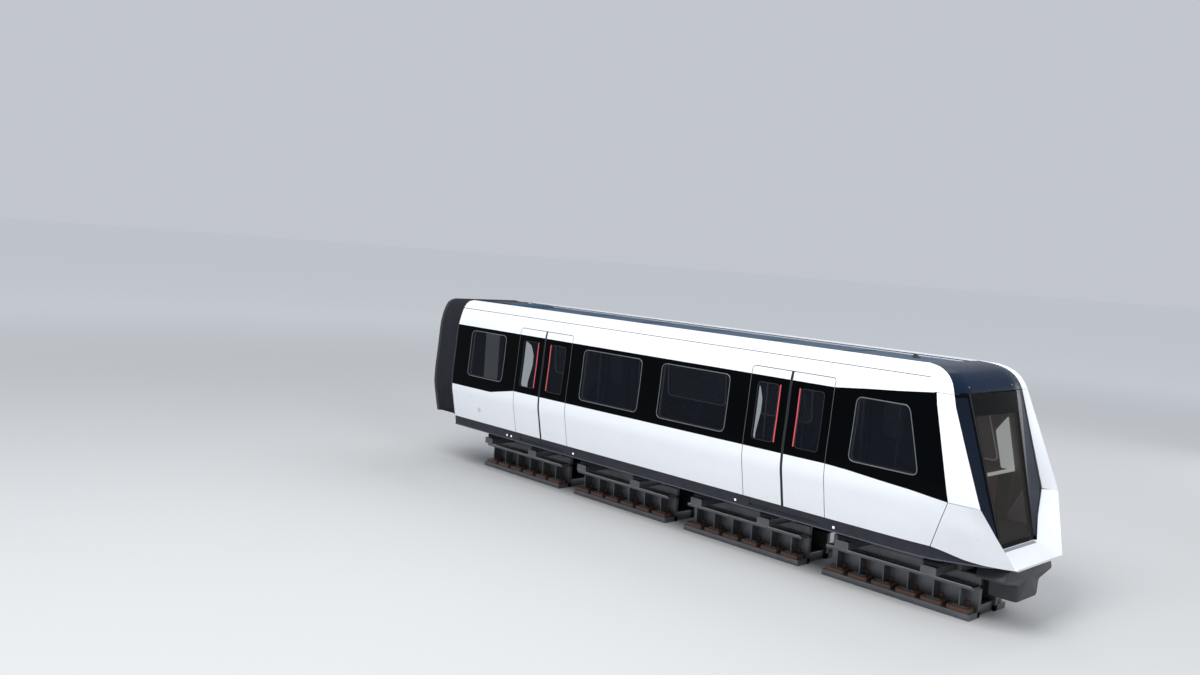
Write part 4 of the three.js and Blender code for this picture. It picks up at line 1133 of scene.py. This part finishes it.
class MAGLEV_OT_roof(bpy.types.Operator):
    """Roof deck with its ribs, the low unit at the rear, and the antenna"""
    bl_idname = "maglev.roof"
    bl_label = "Roof"

    def execute(self, context):
        half, under = DECK_HALF_WIDTH - 0.002, DECK_TOP - 0.004
        deck = [block(0.060, CAP_REAR - 0.002, -half, half, CEILING + 0.001, DECK_TOP)]
        deck += [block(0.075, CAP_REAR - 0.03, y - 0.010, y + 0.010, under, DECK_TOP + 0.014, 1, 0.005)
                 for y in (-0.72, -0.66, 0.66, 0.72)]
        deck += [block(x - 0.012, x + 0.012, -0.63, 0.63, under, DECK_TOP + 0.008, 0, 0.004, axis=1)
                 for x in np.arange(1.3, 10.3, 1.5)]
        piece("roof_deck_plate", deck, "deck deck_rail", "roof_deck", bevel=0.002)
        self.unit()
        low, high = (np.array(corner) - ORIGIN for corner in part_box("roof_antenna"))
        middle = (low + high) / 2
        foot = block(low[0], high[0], low[1], high[1], low[2], low[2] + 0.010, 0, 0.004, axis=2)
        fin = np.linspace(0, 1, 7)[:, None]
        x, y = rounded([(-0.055, -0.014), (0.055, -0.006), (0.055, 0.006), (-0.055, 0.014)], 0.006, 3).T
        rings = put(middle[0] + x * (1 - 0.45 * fin) - 0.010 * fin, middle[1] + y * (1 - 0.5 * fin),
                    low[2] + 0.008 + fin * (high[2] - low[2] - 0.008))
        piece("roof_antenna_fin", [foot, capped(rings)], "steel_dark", "roof_antenna", bevel=0.001)
        return {"FINISHED"}

    def unit(self):
        """Low grey box whose front slopes down, with louvres at the rear of its lid, dark as painted shade
        for the unit's shaded front face, and a pale tip that glows as a painted highlight.
        """
        (x0, y0, z0), (x1, y1, top) = (np.array(corner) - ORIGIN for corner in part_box("roof_unit"))
        lid = top - 0.006
        x, z = rounded([(x0, z0), (x1, z0), (x1, z0 + 0.0116), (0.900, lid), (x0, lid)], 0.004, 3).T
        # The dark steel lid field and its louvres are painted shade
        parts = [capped([put(x, y, z) for y in (y0, y1)]),
                 block(x0 + 0.02, 0.470, y0 + 0.02, y1 - 0.02, top - 0.012, top - 0.004, 1, 0.003)]
        parts += [block(at, at + 0.020, y0 + 0.06, y1 - 0.06, top - 0.010, top, 1, 0.003, axis=1)
                  for at in np.arange(x0 + 0.05, 0.440, 0.045)]
        parts += bolts([(at, y, lid) for at in (0.55, 0.82) for y in (-0.50, -0.17, 0.17, 0.50)],
                       0.012, 0.006)
        # Pale tip in the glowing trim finish: a painted highlight
        parts.append(block(0.420, 0.480, 0.300, 0.380, top - 0.010, top, 2, 0.006))
        piece("roof_unit_cover", parts, "deck steel_dark trim", "roof_unit", slot="frame_steel",
              bevel=0.002)


# Skirts

def skirt_half(z):
    """Half width of the skirt at height z."""
    return np.interp(z, *SKIRT_WIDTHS)


def skirt_points(x, z, side):
    """The skirt follows the flank's plan under the sill, 12 mm inside it where the nose turns in."""
    inset = 0.012 * np.clip((x - NOSE_START) / 0.8, 0, 1)
    turned_in = np.minimum(skirt_half(z), flank(x, np.maximum(z, LEVELS[0, 0])) - inset)
    return put(x, side * np.where(x <= NOSE_START, skirt_half(z), turned_in), z)


class MAGLEV_OT_skirts(bpy.types.Operator):
    """Slate skirts with their lighter lip, step recesses and small lamps"""
    bl_idname = "maglev.skirts"
    bl_label = "Skirts"

    def execute(self, context):
        middles = [middle for _, middle, _ in DOORS.values()]
        halves = STEP_HALF, STEP_HALF + 0.004
        edges = [m + way * half for m in middles for way in (-1, 1) for half in halves]
        x = lines(0.0, 11.76, extra=[*edges, SEAM_FOOT - 0.075, NOSE_START], step=0.12)
        top = np.minimum(SILL, np.interp(x, *CHIN_LINE)) - 0.002
        low = np.interp(x, [10.95, 12.2], [0.0, 0.095])
        rows = np.array([0.0, 0.06, 0.12, 0.20, 0.24, 0.28, 0.42, 0.46, 0.50, 0.65, 0.85, 1.0])
        z = low[:, None] + rows * (top - low)[:, None]
        under_door = np.any([np.abs(x - m) < STEP_HALF + 1e-6 for m in middles], 0)
        dip = under_door[:, None] & (rows > 0.22) & (rows < 0.48)
        profile = rounded(oblong(-0.009, 0.009, -0.012, 0.010), 0.004, 3)
        lamp = [(0, 0.007), (0.012, 0.006), (0.020, 0.002), (0.022, -0.004), (0.022, -0.012), (0, -0.012)]
        spots = [1.752, *[m + way for m in middles for way in (-0.92, 0.92)]]
        for name, side in SIDES.items():
            outer = skirt_points(x[:, None], z, side)
            inner = outer - (0, side * SKIRT_THICKNESS, 0)
            outer[..., 1] -= side * STEP_DEPTH * dip
            rail = sweep(skirt_points(x, low + 0.010, side), (0, 0, 1), (0, side, 0), profile, finish=1)
            piece(f"skirt_panel_{name}", [between(outer, inner), rail], "slate slate_lip",
                  f"skirt_{name}", bevel=0.002)
            lens = [(radius, side * out) for radius, out in lamp]
            y = side * skirt_half(LAMP_HEIGHT)
            lamps = [turned(lens, (at, y, LAMP_HEIGHT), axis=1, count=20) for at in spots]
            piece(f"skirt_lamps_{name}", lamps, "lamp")
        return {"FINISHED"}


# Gangway

def end_outline(inset):
    """The body's outline seen from behind, closed, and moved in by inset: up the right side from the
    sill, over the roof and down the left side, and back along the sill."""
    course = np.concatenate([np.linspace(SILL, PILLAR_TOP, 14), np.linspace(PILLAR_TOP, ARCH_TOP, 12)[1:]])
    z = level("z", course)
    arch = np.clip((z - PILLAR_TOP) / (LEVELS[-1, 0] - PILLAR_TOP), 0, 1)
    y = level("side", course) - inset
    z = np.maximum(z - inset * arch, SILL + inset)
    top = np.linspace(-y[-1], y[-1], 11)[1:-1]
    foot = np.linspace(y[0], -y[0], 13)[1:-1]
    return np.concatenate([np.stack([-y, z], -1), np.stack([top, 0 * top + z[-1]], -1),
                           np.stack([y, z], -1)[::-1], np.stack([foot, 0 * foot + z[0]], -1)])


def portal(x0, x1, inset):
    """A plate across the car's end with the passage cut out: the outline and the passage's rectangle,
    point for point on the same rays from the passage's middle, joined round the plate's thickness."""
    outer = end_outline(inset)
    half, top = PASSAGE["half_width"], PASSAGE["top"]
    middle = (FLOOR_TOP + top) / 2
    ray_y, ray_z = outer[:, 0], outer[:, 1] - middle
    stretch = np.minimum(half / np.maximum(np.abs(ray_y), 1e-6),
                         (top - FLOOR_TOP) / 2 / np.maximum(np.abs(ray_z), 1e-6))
    inner = np.stack([ray_y * stretch, middle + ray_z * stretch], -1)
    for corner in ((-half, FLOOR_TOP), (-half, top), (half, top), (half, FLOOR_TOP)):
        inner[np.argmin(np.linalg.norm(inner - corner, axis=1))] = corner
    loops = [put(x0, *outer.T), put(x1, *outer.T), put(x1, *inner.T), put(x0, *inner.T)]
    return tube(np.stack(loops, 1), closed=True)


class MAGLEV_OT_gangway(bpy.types.Operator):
    """Gangway frames, pleated bellows, threshold plate and coupling"""
    bl_idname = "maglev.gangway"
    bl_label = "Gangway"

    def execute(self, context):
        car_frame, bellows_end, outer_end, pivot = GANGWAY.values()
        plate = block(-0.520, car_frame + 0.002, -0.430, 0.430, 0.3005, FLOOR_TOP, 0, 0.003)
        piece("gangway_portal_car", [portal(car_frame, -0.0006, 0.015), plate], "steel_dark",
              "gangway_car_frame", bevel=0.003)
        spots = [(0.70, 0.45), (0.95, 0.80), (0.95, 1.30), (0.90, 1.80), (0.70, 2.36)]
        heads = bolts([(outer_end + 0.006, side * y, z) for side in (-1, 1) for y, z in spots], 0.016,
                      0.006, axis=0, way=-1, finish=1)
        piece("gangway_portal_outer", [portal(outer_end + 0.004, bellows_end, 0.015), *heads],
              "steel_dark gear", "gangway_outer_frame", "coupling", bevel=0.003)
        self.bellows(car_frame - 0.0005, bellows_end + 0.0005)
        self.coupling(pivot)
        return {"FINISHED"}

    def bellows(self, start, end):
        """The outline moved in by 25 mm at the crests and 65 mm in the folds, as a raised cosine along
        the car, and an inner surface 17 mm behind it, joined at both ends."""
        count = sizes().pleats * 8 + 1
        fold = (0.5 - 0.5 * np.cos(2 * np.pi * np.linspace(0, sizes().pleats, count))) ** 0.7
        outer, inner = ([put(at, *end_outline(inset + PLEAT_DEPTH * f).T)
                         for at, f in zip(np.linspace(start, end, count), fold)] for inset in PLEAT_INSETS)
        skin = tube(np.stack([*outer, *inner[::-1]]), closed=True)
        made = piece("gangway_bellows_skin", [skin], "rubber", "gangway_bellows", None, sharp=60)
        ends = [tuple(put(at, 0, 1.05)) for at in (start, end)]
        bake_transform(made)

    def coupling(self, pivot):
        """Two plates with rounded eyes about the pin, the block that joins them, and the end plate."""
        arc = np.linspace(-np.pi / 2, np.pi / 2, 13)
        eye = np.stack([pivot + 0.110 * np.cos(arc), 0.110 * np.sin(arc)])
        x, y = np.concatenate([[[-0.655], [-0.090]], eye, [[-0.655], [0.090]]], 1)
        parts = [capped([put(x, y, z) for z in ends]) for ends in ((0.020, 0.0596), (0.1104, 0.150))]
        parts += [block(-0.655, -0.480, -0.0905, 0.0905, 0.0205, 0.1495, 0, 0.01),
                  block(-0.690, -0.640, -0.300, 0.300, -0.040, 0.2026, 0, 0.012)]
        pin = [(0, 0.168), (0.030, 0.168), (0.040, 0.160), (0.040, 0.1495), (0, 0.1495)]
        parts.append(turned(pin, (pivot, 0, 0), count=24, finish=1))
        parts += bolts([(-0.6405, y, z) for y in (-0.24, -0.14, 0.14, 0.24) for z in (0.0, 0.16)],
                       0.016, 0.012, axis=0, finish=1)
        piece("coupling_fork", parts, "steel_dark gear", "coupling_yoke", "coupling", bevel=0.003)


# Running gear

class MAGLEV_OT_levitation(bpy.types.Operator):
    """Levitation frames: slewing ring, spine, cross beams on air springs, webs, skids and magnets"""
    bl_idname = "maglev.levitation"
    bl_label = "Levitation Frames"

    # Turned sections: radius and height
    RING = [(0, -0.130), (0.292, -0.130), (0.300, -0.122), (0.300, -0.060), (0.285, -0.050),
            (0.285, -0.030), (0.300, -0.020), (0.300, 0.0186), (0, 0.0186)]
    SPRING = [(0, -0.160), (0.130, -0.160), (0.158, -0.140), (0.165, -0.115), (0.155, -0.090),
              (0.128, -0.075), (0.155, -0.058), (0.165, -0.035), (0.158, -0.012), (0.130, 0.002),
              (0.120, 0.011), (0, 0.011)]
    STEEL, COIL, WORN, RUBBER = range(4)
    # Web, skid, slide rail and its worn face: half length, inner and outer distance from the middle
    # line, foot and head, finish and rounding
    LONG = [(1.20, 0.230, 0.300, STAND, -0.250, STEEL, 0.008),
            (1.20, 0.230, 0.560, STAND, -0.760, STEEL, 0.010),
            (1.20, 0.230, 0.500, -0.430, -0.384, STEEL, 0.008),
            (1.18, 0.240, 0.520, -0.386, -0.370, WORN, 0.006)]
    # A magnet's winding, its core and its foot: start and end, then as above, and the axis of the bar
    MAGNET = [(0.03, 0.37, 0.330, 0.540, -0.762, -0.702, COIL, 0.05, 2),
              (0.09, 0.31, 0.388, 0.482, -0.762, -0.6905, STEEL, 0.006, 2),
              (0.13, 0.27, 0.296, 0.332, -0.758, -0.640, COIL, 0.01, 0)]

    def execute(self, context):
        for number, centre in enumerate(FRAME_CENTRES, 1):
            piece(f"levitation_gear_{number}", self.gear(centre), "gear coil worn rubber",
                  f"levitation_frame_{number}", f"levitation_{number}", bevel=0.002)
        return {"FINISHED"}

    def gear(self, centre):
        parts = [turned(self.RING, (centre, 0, 0), count=48),
                 block(centre - 0.9, centre + 0.9, -0.300, 0.300, -0.270, -0.120, 0, 0.025)]
        for sign in (-1, 1):
            along = centre + sign * 0.700
            parts += [block(along - 0.12, along + 0.12, -0.88, 0.88, -0.270, -0.150, 0, 0.02, axis=1),
                      block(centre + sign * 1.04, centre + sign * 1.16, -0.26, 0.26, STAND, -0.700, 0,
                            0.015, axis=1)]
            parts += [turned(self.SPRING, (along, y, 0), finish=self.RUBBER) for y in (-0.700, 0.700)]
            parts += [block(centre - half, centre + half, sign * near, sign * far, *rest)
                      for half, near, far, *rest in self.LONG]
            parts += [block(start + x0, start + x1, sign * near, sign * far, *rest)
                      for start in centre - 1.2 + 0.4 * np.arange(6)
                      for x0, x1, near, far, *rest in self.MAGNET]
            parts += [block(at - 0.008, at + 0.008, sign * 0.298, sign * 0.480, -0.762, -0.428, 0, 0.002)
                      for at in centre + np.linspace(-1.0, 1.0, 6)]
        heads = [(centre + x, y, -0.130) for x, y in circle(0.255, 16)]
        return parts + bolts(heads, 0.014, 0.012, way=-1)


class MAGLEV_OT_underframe(bpy.types.Operator):
    """Underframe with its ribs, lids and jacking pads, and the front deflector"""
    bl_idname = "maglev.underframe"
    bl_label = "Underframe"

    def execute(self, context):
        dress("floor", "floor")
        dress("rear_end_wall", "bulkhead")
        bottom, top, lid = 0.0203, 0.2697, 0.0210
        parts = [block(0.061, 10.899, -0.979, 0.979, bottom, top, 0, 0.010),
                 block(10.80, 11.499, -0.499, 0.499, bottom, top, 0, 0.010),
                 block(-0.345, 0.199, -0.089, 0.089, 0.0604, 0.1096, 0, 0.004)]
        eye = [(0, 0.0604), (0.106, 0.0604), (0.110, 0.0644), (0.110, 0.1056), (0.106, 0.1096), (0, 0.1096)]
        parts.append(turned(eye, (GANGWAY["pivot"], 0, 0)))
        for x in BETWEEN_FRAMES:
            for side in (-1, 1):
                parts.append(block(x - 0.17, x + 0.17, side * 0.10, side * 0.66, 0.006, lid, 1, 0.004))
                spots = [(x + a, side * b, 0.006) for a in (-0.15, 0.15) for b in (0.13, 0.38, 0.63)]
                parts += bolts(spots, 0.010, 0.007, way=-1, finish=1)
        pad = 0.0895
        parts += [block(x - pad, x + pad, y - pad, y + pad, -0.0098, lid, 1, 0.012, axis=2)
                  for x in BETWEEN_FRAMES[::2] for y in (-0.86, 0.86)]
        parts += [block(centre + x - 0.020, centre + x + 0.020, -0.96, 0.96, 0.0150, lid, 0, 0.003, axis=1)
                  for centre in FRAME_CENTRES for x in (-1.12, -0.42, 0.42, 1.12)]
        piece("underframe_body", parts, "steel_dark gear", "underframe", bevel=0.002)
        self.deflector()
        return {"FINISHED"}

    def deflector(self):
        """Outline (y, z) of the left half and its mirror, carried forward and drawn in at both ends."""
        half = np.array([(0.690, 0.0194), (0.790, -0.140), (0.340, -0.240), (0.320, -0.480)])
        outline = dense(rounded([*half, *half[::-1] * (-1, 1)], 0.045, 8), 0.03)
        middle = np.array([0.0, -0.12])
        stations = ((11.472, 0.985), (11.480, 0.998), (11.500, 0.998), (11.780, 0.998), (11.800, 0.998),
                    (11.845, 0.990), (11.868, 0.968), (11.879, 0.930))
        rings = [put(x, *(middle + (outline - middle) * share).T) for x, share in stations]
        ends = [np.repeat(put(stations[i][0], 0, -0.15)[None], len(outline), 0) for i in (0, -1)]
        piece("front_deflector_plough", [tube(np.stack([ends[0], *rings, ends[1]]))], "steel_dark",
              "front_deflector", sharp=40)


def dress(node, finish):
    """Gives a carried-over solid its finish."""
    materials = bpy.data.objects[node].data.materials
    materials.clear()
    materials.append(finish_of(finish))


# Cabin

class MAGLEV_OT_cabin(bpy.types.Operator):
    """Moulded benches with their screens, grab poles with ceiling rails, and the ceiling"""
    bl_idname = "maglev.cabin"
    bl_label = "Cabin"

    BENCHES = {"rear": (0.120, 1.960, ("front",)), "middle": (3.640, 7.670, ("rear", "front"))}
    WALL_SIDE = 1.095
    SEAT_PITCH = 0.46
    POLE_SIDE = 0.540
    POLE_STATIONS = (1.900, 3.700, 7.610, 9.400)
    FOOT = FLOOR_TOP + 0.001
    # Seat section: distance from the wall, height, and how far it dips at the middle of a seat
    SEAT = np.array([(0.000, 0.640, 0.000), (0.000, 1.090, 0.000), (0.012, 1.100, 0.000),
                     (0.050, 1.100, 0.000), (0.064, 1.088, 0.004), (0.068, 1.000, 0.014),
                     (0.070, 0.860, 0.018), (0.082, 0.800, 0.018), (0.125, 0.758, 0.020),
                     (0.250, 0.752, 0.022), (0.400, 0.757, 0.014), (0.455, 0.756, 0.006),
                     (0.477, 0.742, 0.000), (0.480, 0.700, 0.000), (0.474, 0.655, 0.000),
                     (0.455, 0.640, 0.000)])

    # Draught screen: distance from the wall side, and height
    SCREEN = [(0.040, FOOT), (0.260, FOOT), (0.260, 1.150), (0.360, 1.500), (0.370, 1.700),
              (0.300, 1.900), (0.160, 1.990), (0.040, 2.000)]
    # Corner lining, pale with a strong glow of painted sunlight above and brown with a faint painted glow
    # below: station and height
    CORNER = ([(10.83, 1.055), (11.045, 1.055), (10.86, 1.845), (10.69, 1.605)],
              [(10.30, FOOT + 0.002), (10.98, FOOT + 0.002), (11.04, 0.72), (11.03, 1.045), (10.30, 1.045)])

    def execute(self, context):
        for name, side in SIDES.items():
            for bench, (x0, x1, screens) in self.BENCHES.items():
                self.bench(f"bench_{bench}_{name}", x0, x1, screens, side)
            self.poles(name, side)
        ceiling = [block(0.070, 10.440, -0.500, 0.500, 2.5535, 2.5595, 0, 0.002)]
        ceiling += [block(0.30, 10.2, y - 0.045, y + 0.045, 2.549, 2.5545, 1, 0.002) for y in (-0.30, 0.30)]
        piece("ceiling_panel", ceiling, "lining ceiling_light")
        ledge = [block(10.985, 11.065, 0.210, 1.060, 1.050, 1.080, 0, 0.010, axis=1),
                 block(11.000, 11.050, 0.640, 1.030, self.FOOT, 1.052, 1, 0.010, axis=2)]
        # The ledge's top takes the pale lining that glows with painted sunlight
        piece("front_ledge", ledge, "corner_pale steel_dark", bevel=0.002)
        steps = ((1.112, 0.99), (1.110, 1.0), (1.102, 1.0), (1.100, 0.99))
        for name, side in SIDES.items():
            lining = [eased(dense(rounded(corners, 0.020, 4), 0.08), steps,
                            lambda reach, x, z: put(x, side * reach, z), finish)
                      for finish, corners in enumerate(self.CORNER)]
            piece(f"corner_lining_{name}", lining, "corner_pale corner_brown")
        return {"FINISHED"}

    def bench(self, node, x0, x1, screens, side):
        """The seat section carried along the car. At each seat its top and back sink by the dip times a
        raised cosine, with narrow flat ridges between the seats."""
        seats = round((x1 - x0) / self.SEAT_PITCH)
        x = np.linspace(x0, x1, seats * 10 + 1)[:, None]
        hollow = (0.5 - 0.5 * np.cos(2 * np.pi * (x - x0) / (x1 - x0) * seats)) ** 0.5
        reach, height, dip = self.SEAT.T
        sink = hollow * dip
        top = reach > 0.10
        wall_y = side * self.WALL_SIDE
        seat = capped(put(x, side * (self.WALL_SIDE - reach + sink * ~top), height - sink * top))
        leg = block(x0 + 0.03, x1 - 0.03, wall_y - side * 0.08, wall_y - side * 0.20, FLOOR_TOP + 0.0006,
                    0.645, 1, 0.012)
        piece(f"{node}_seats", [seat, leg], "bench steel_dark", node, bevel=0.003, sharp=40)
        outline = dense(rounded(self.SCREEN, 0.030, 4), 0.05)
        for end in screens:
            start = x0 if end == "rear" else x1 - 0.030
            panel = eased(outline, ((0.004, 0.985), (0.007, 1.0), (0.023, 1.0), (0.026, 0.985)),
                          lambda along, reach, height: put(start + along, wall_y - side * reach, height))
            # Near front screens glow with painted sunlight, the others take the plain shaded copy
            finish = "draught" if side < 0 and end == "front" else "draught_shaded"
            piece(f"{node}_screen_{end}", [panel], finish, node, sharp=30)

    def poles(self, name, side):
        """Turned poles with foot and head flanges, and the rail along the ceiling."""
        y = side * self.POLE_SIDE
        low, high = FLOOR_TOP + 0.0006, CEILING - 0.0006
        profile = [(0, low), (0.040, low), (0.040, low + 0.006), (0.020, low + 0.012), (0.018, low + 0.020),
                   (0.018, high - 0.020), (0.020, high - 0.012), (0.036, high - 0.006), (0.036, high),
                   (0, high)]
        parts = [turned(profile, (x, y, 0), count=20) for x in self.POLE_STATIONS]
        rail = block(self.POLE_STATIONS[0], self.POLE_STATIONS[-1], y - 0.015, y + 0.015, CEILING - 0.040,
                     CEILING - 0.010, 0, 0.012)
        piece(f"grab_poles_bar_{name}", [*parts, rail], "brushed", f"grab_poles_{name}")


# Stage

class MAGLEV_OT_stage(bpy.types.Operator):
    """Pale floor, soft studio light, and the camera at the photograph's view"""
    bl_idname = "maglev.stage"
    bl_label = "Studio"

    FLOOR_HALF = 900
    # Place, the point it faces, size and power
    LAMPS = {"key": ((2, -13, 19), (0, 0, 1.5), 12, 3750),
             "nose_fill": ((20, -6, 13), (5, 0, 1.8), 9, 1350),
             "far_sky": ((9.6, 20.7, 3.4), (5.6, 0.9, 2.4), 7.8, 380),
             "back": ((-2, 13, 18), (0, 0, 2), 12, 1200)}

    def execute(self, context):
        scene = context.scene
        data = bpy.data.cameras.new("view")
        data.lens = CAMERA_LENS
        data.clip_end = 2000.0
        columns = np.array([CAMERA_RIGHT, CAMERA_DOWN, CAMERA_FORWARD]) * [[1], [-1], [-1]]
        scene.camera = self.stand("view", data, CAMERA_PLACE, columns)
        scene.view_settings.view_transform = "Standard"
        mesh = bpy.data.meshes.new("studio_floor")
        far = self.FLOOR_HALF
        mesh.from_pydata([(*corner, 0) for corner in oblong(-far, far, -far, far)], [], [(0, 1, 2, 3)])
        mesh.materials.append(self.pale())
        made = bpy.data.objects.new("studio_floor", mesh)
        scene.collection.objects.link(made)
        self.lights(scene)
        return {"FINISHED"}

    def stand(self, name, data, place, axes):
        """An object at a place, turned so that its own axes lie along these."""
        made = bpy.data.objects.new(name, data)
        made.matrix_world = Matrix.Translation(place) @ Matrix(np.transpose(axes).tolist()).to_4x4()
        bpy.context.scene.collection.objects.link(made)
        return made

    def pale(self):
        """Pale grey near the car, rising to white far from it, so that it meets the sky softly."""
        made = principled("studio_pale", (0.53, 0.535, 0.54), 0.8, mottle=0.01, mottle_scale=0.3,
                          specular=0.0)
        nodes = made.node_tree.nodes
        shader = nodes["Principled BSDF"]
        near = shader.inputs["Base Color"].links[0].from_socket
        place = next(n for n in nodes if n.type == "TEX_COORD").outputs["Object"]
        far = add_node(made, "VectorMath", feeds={0: place}, operation="LENGTH").outputs["Value"]
        rise = add_node(made, "MapRange", {"From Min": 6, "From Max": 50}, {"Value": far},
                        interpolation_type="SMOOTHSTEP").outputs["Result"]
        white = add_node(made, "Mix", {"B": (0.96, 0.97, 0.98, 1)}, {"Factor": rise, "A": near},
                         data_type="RGBA").outputs["Result"]
        fill(made, shader, feeds={"Base Color": white})
        return made

    def lights(self, scene):
        world = bpy.data.worlds.new("studio")
        world.use_nodes = True
        fill(world, world.node_tree.nodes["Background"], {"Color": (0.78, 0.82, 0.88, 1), "Strength": 0.69})
        scene.world = world
        for name, (place, aim, size, power) in self.LAMPS.items():
            data = bpy.data.lights.new(name, "AREA")
            data.size = size
            data.energy = power
            way = np.subtract(place, aim)
            z = way / np.linalg.norm(way)
            x = np.cross([0, 0, 1.0], z)
            x /= np.linalg.norm(x)
            self.stand(name, data, place, [x, np.cross(z, x), z]).visible_camera = False


OPERATORS = (MAGLEV_OT_stage, MAGLEV_OT_sides, MAGLEV_OT_windows, MAGLEV_OT_doors, MAGLEV_OT_nose,
             MAGLEV_OT_windscreen, MAGLEV_OT_roof, MAGLEV_OT_skirts, MAGLEV_OT_gangway,
             MAGLEV_OT_levitation, MAGLEV_OT_underframe, MAGLEV_OT_cabin)


class MAGLEV_PT_car(bpy.types.Panel):
    """Sizes, colours and steps of the car"""
    bl_idname = "MAGLEV_PT_car"
    bl_label = "Maglev Car"
    bl_space_type = "VIEW_3D"
    bl_region_type = "UI"
    bl_category = "Maglev Car"

    def draw(self, context):
        for group in (context.scene.maglev_sizes, context.scene.maglev_colours):
            for setting in group.__annotations__:
                self.layout.prop(group, setting)
        for operator in OPERATORS:
            self.layout.operator(operator.bl_idname)


CLASSES = (MAGLEV_PG_sizes, MAGLEV_PG_colours, *OPERATORS, MAGLEV_PT_car)


def register():
    for each in CLASSES:
        bpy.utils.register_class(each)
    bpy.types.Scene.maglev_sizes = bpy.props.PointerProperty(type=MAGLEV_PG_sizes)
    bpy.types.Scene.maglev_colours = bpy.props.PointerProperty(type=MAGLEV_PG_colours)


def unregister():
    del bpy.types.Scene.maglev_colours
    del bpy.types.Scene.maglev_sizes
    for each in reversed(CLASSES):
        bpy.utils.unregister_class(each)


def main():
    register()
    for operator in OPERATORS:
        group, name = operator.bl_idname.split(".")
        getattr(getattr(bpy.ops, group), name)()


if __name__ == "__main__":
    main()
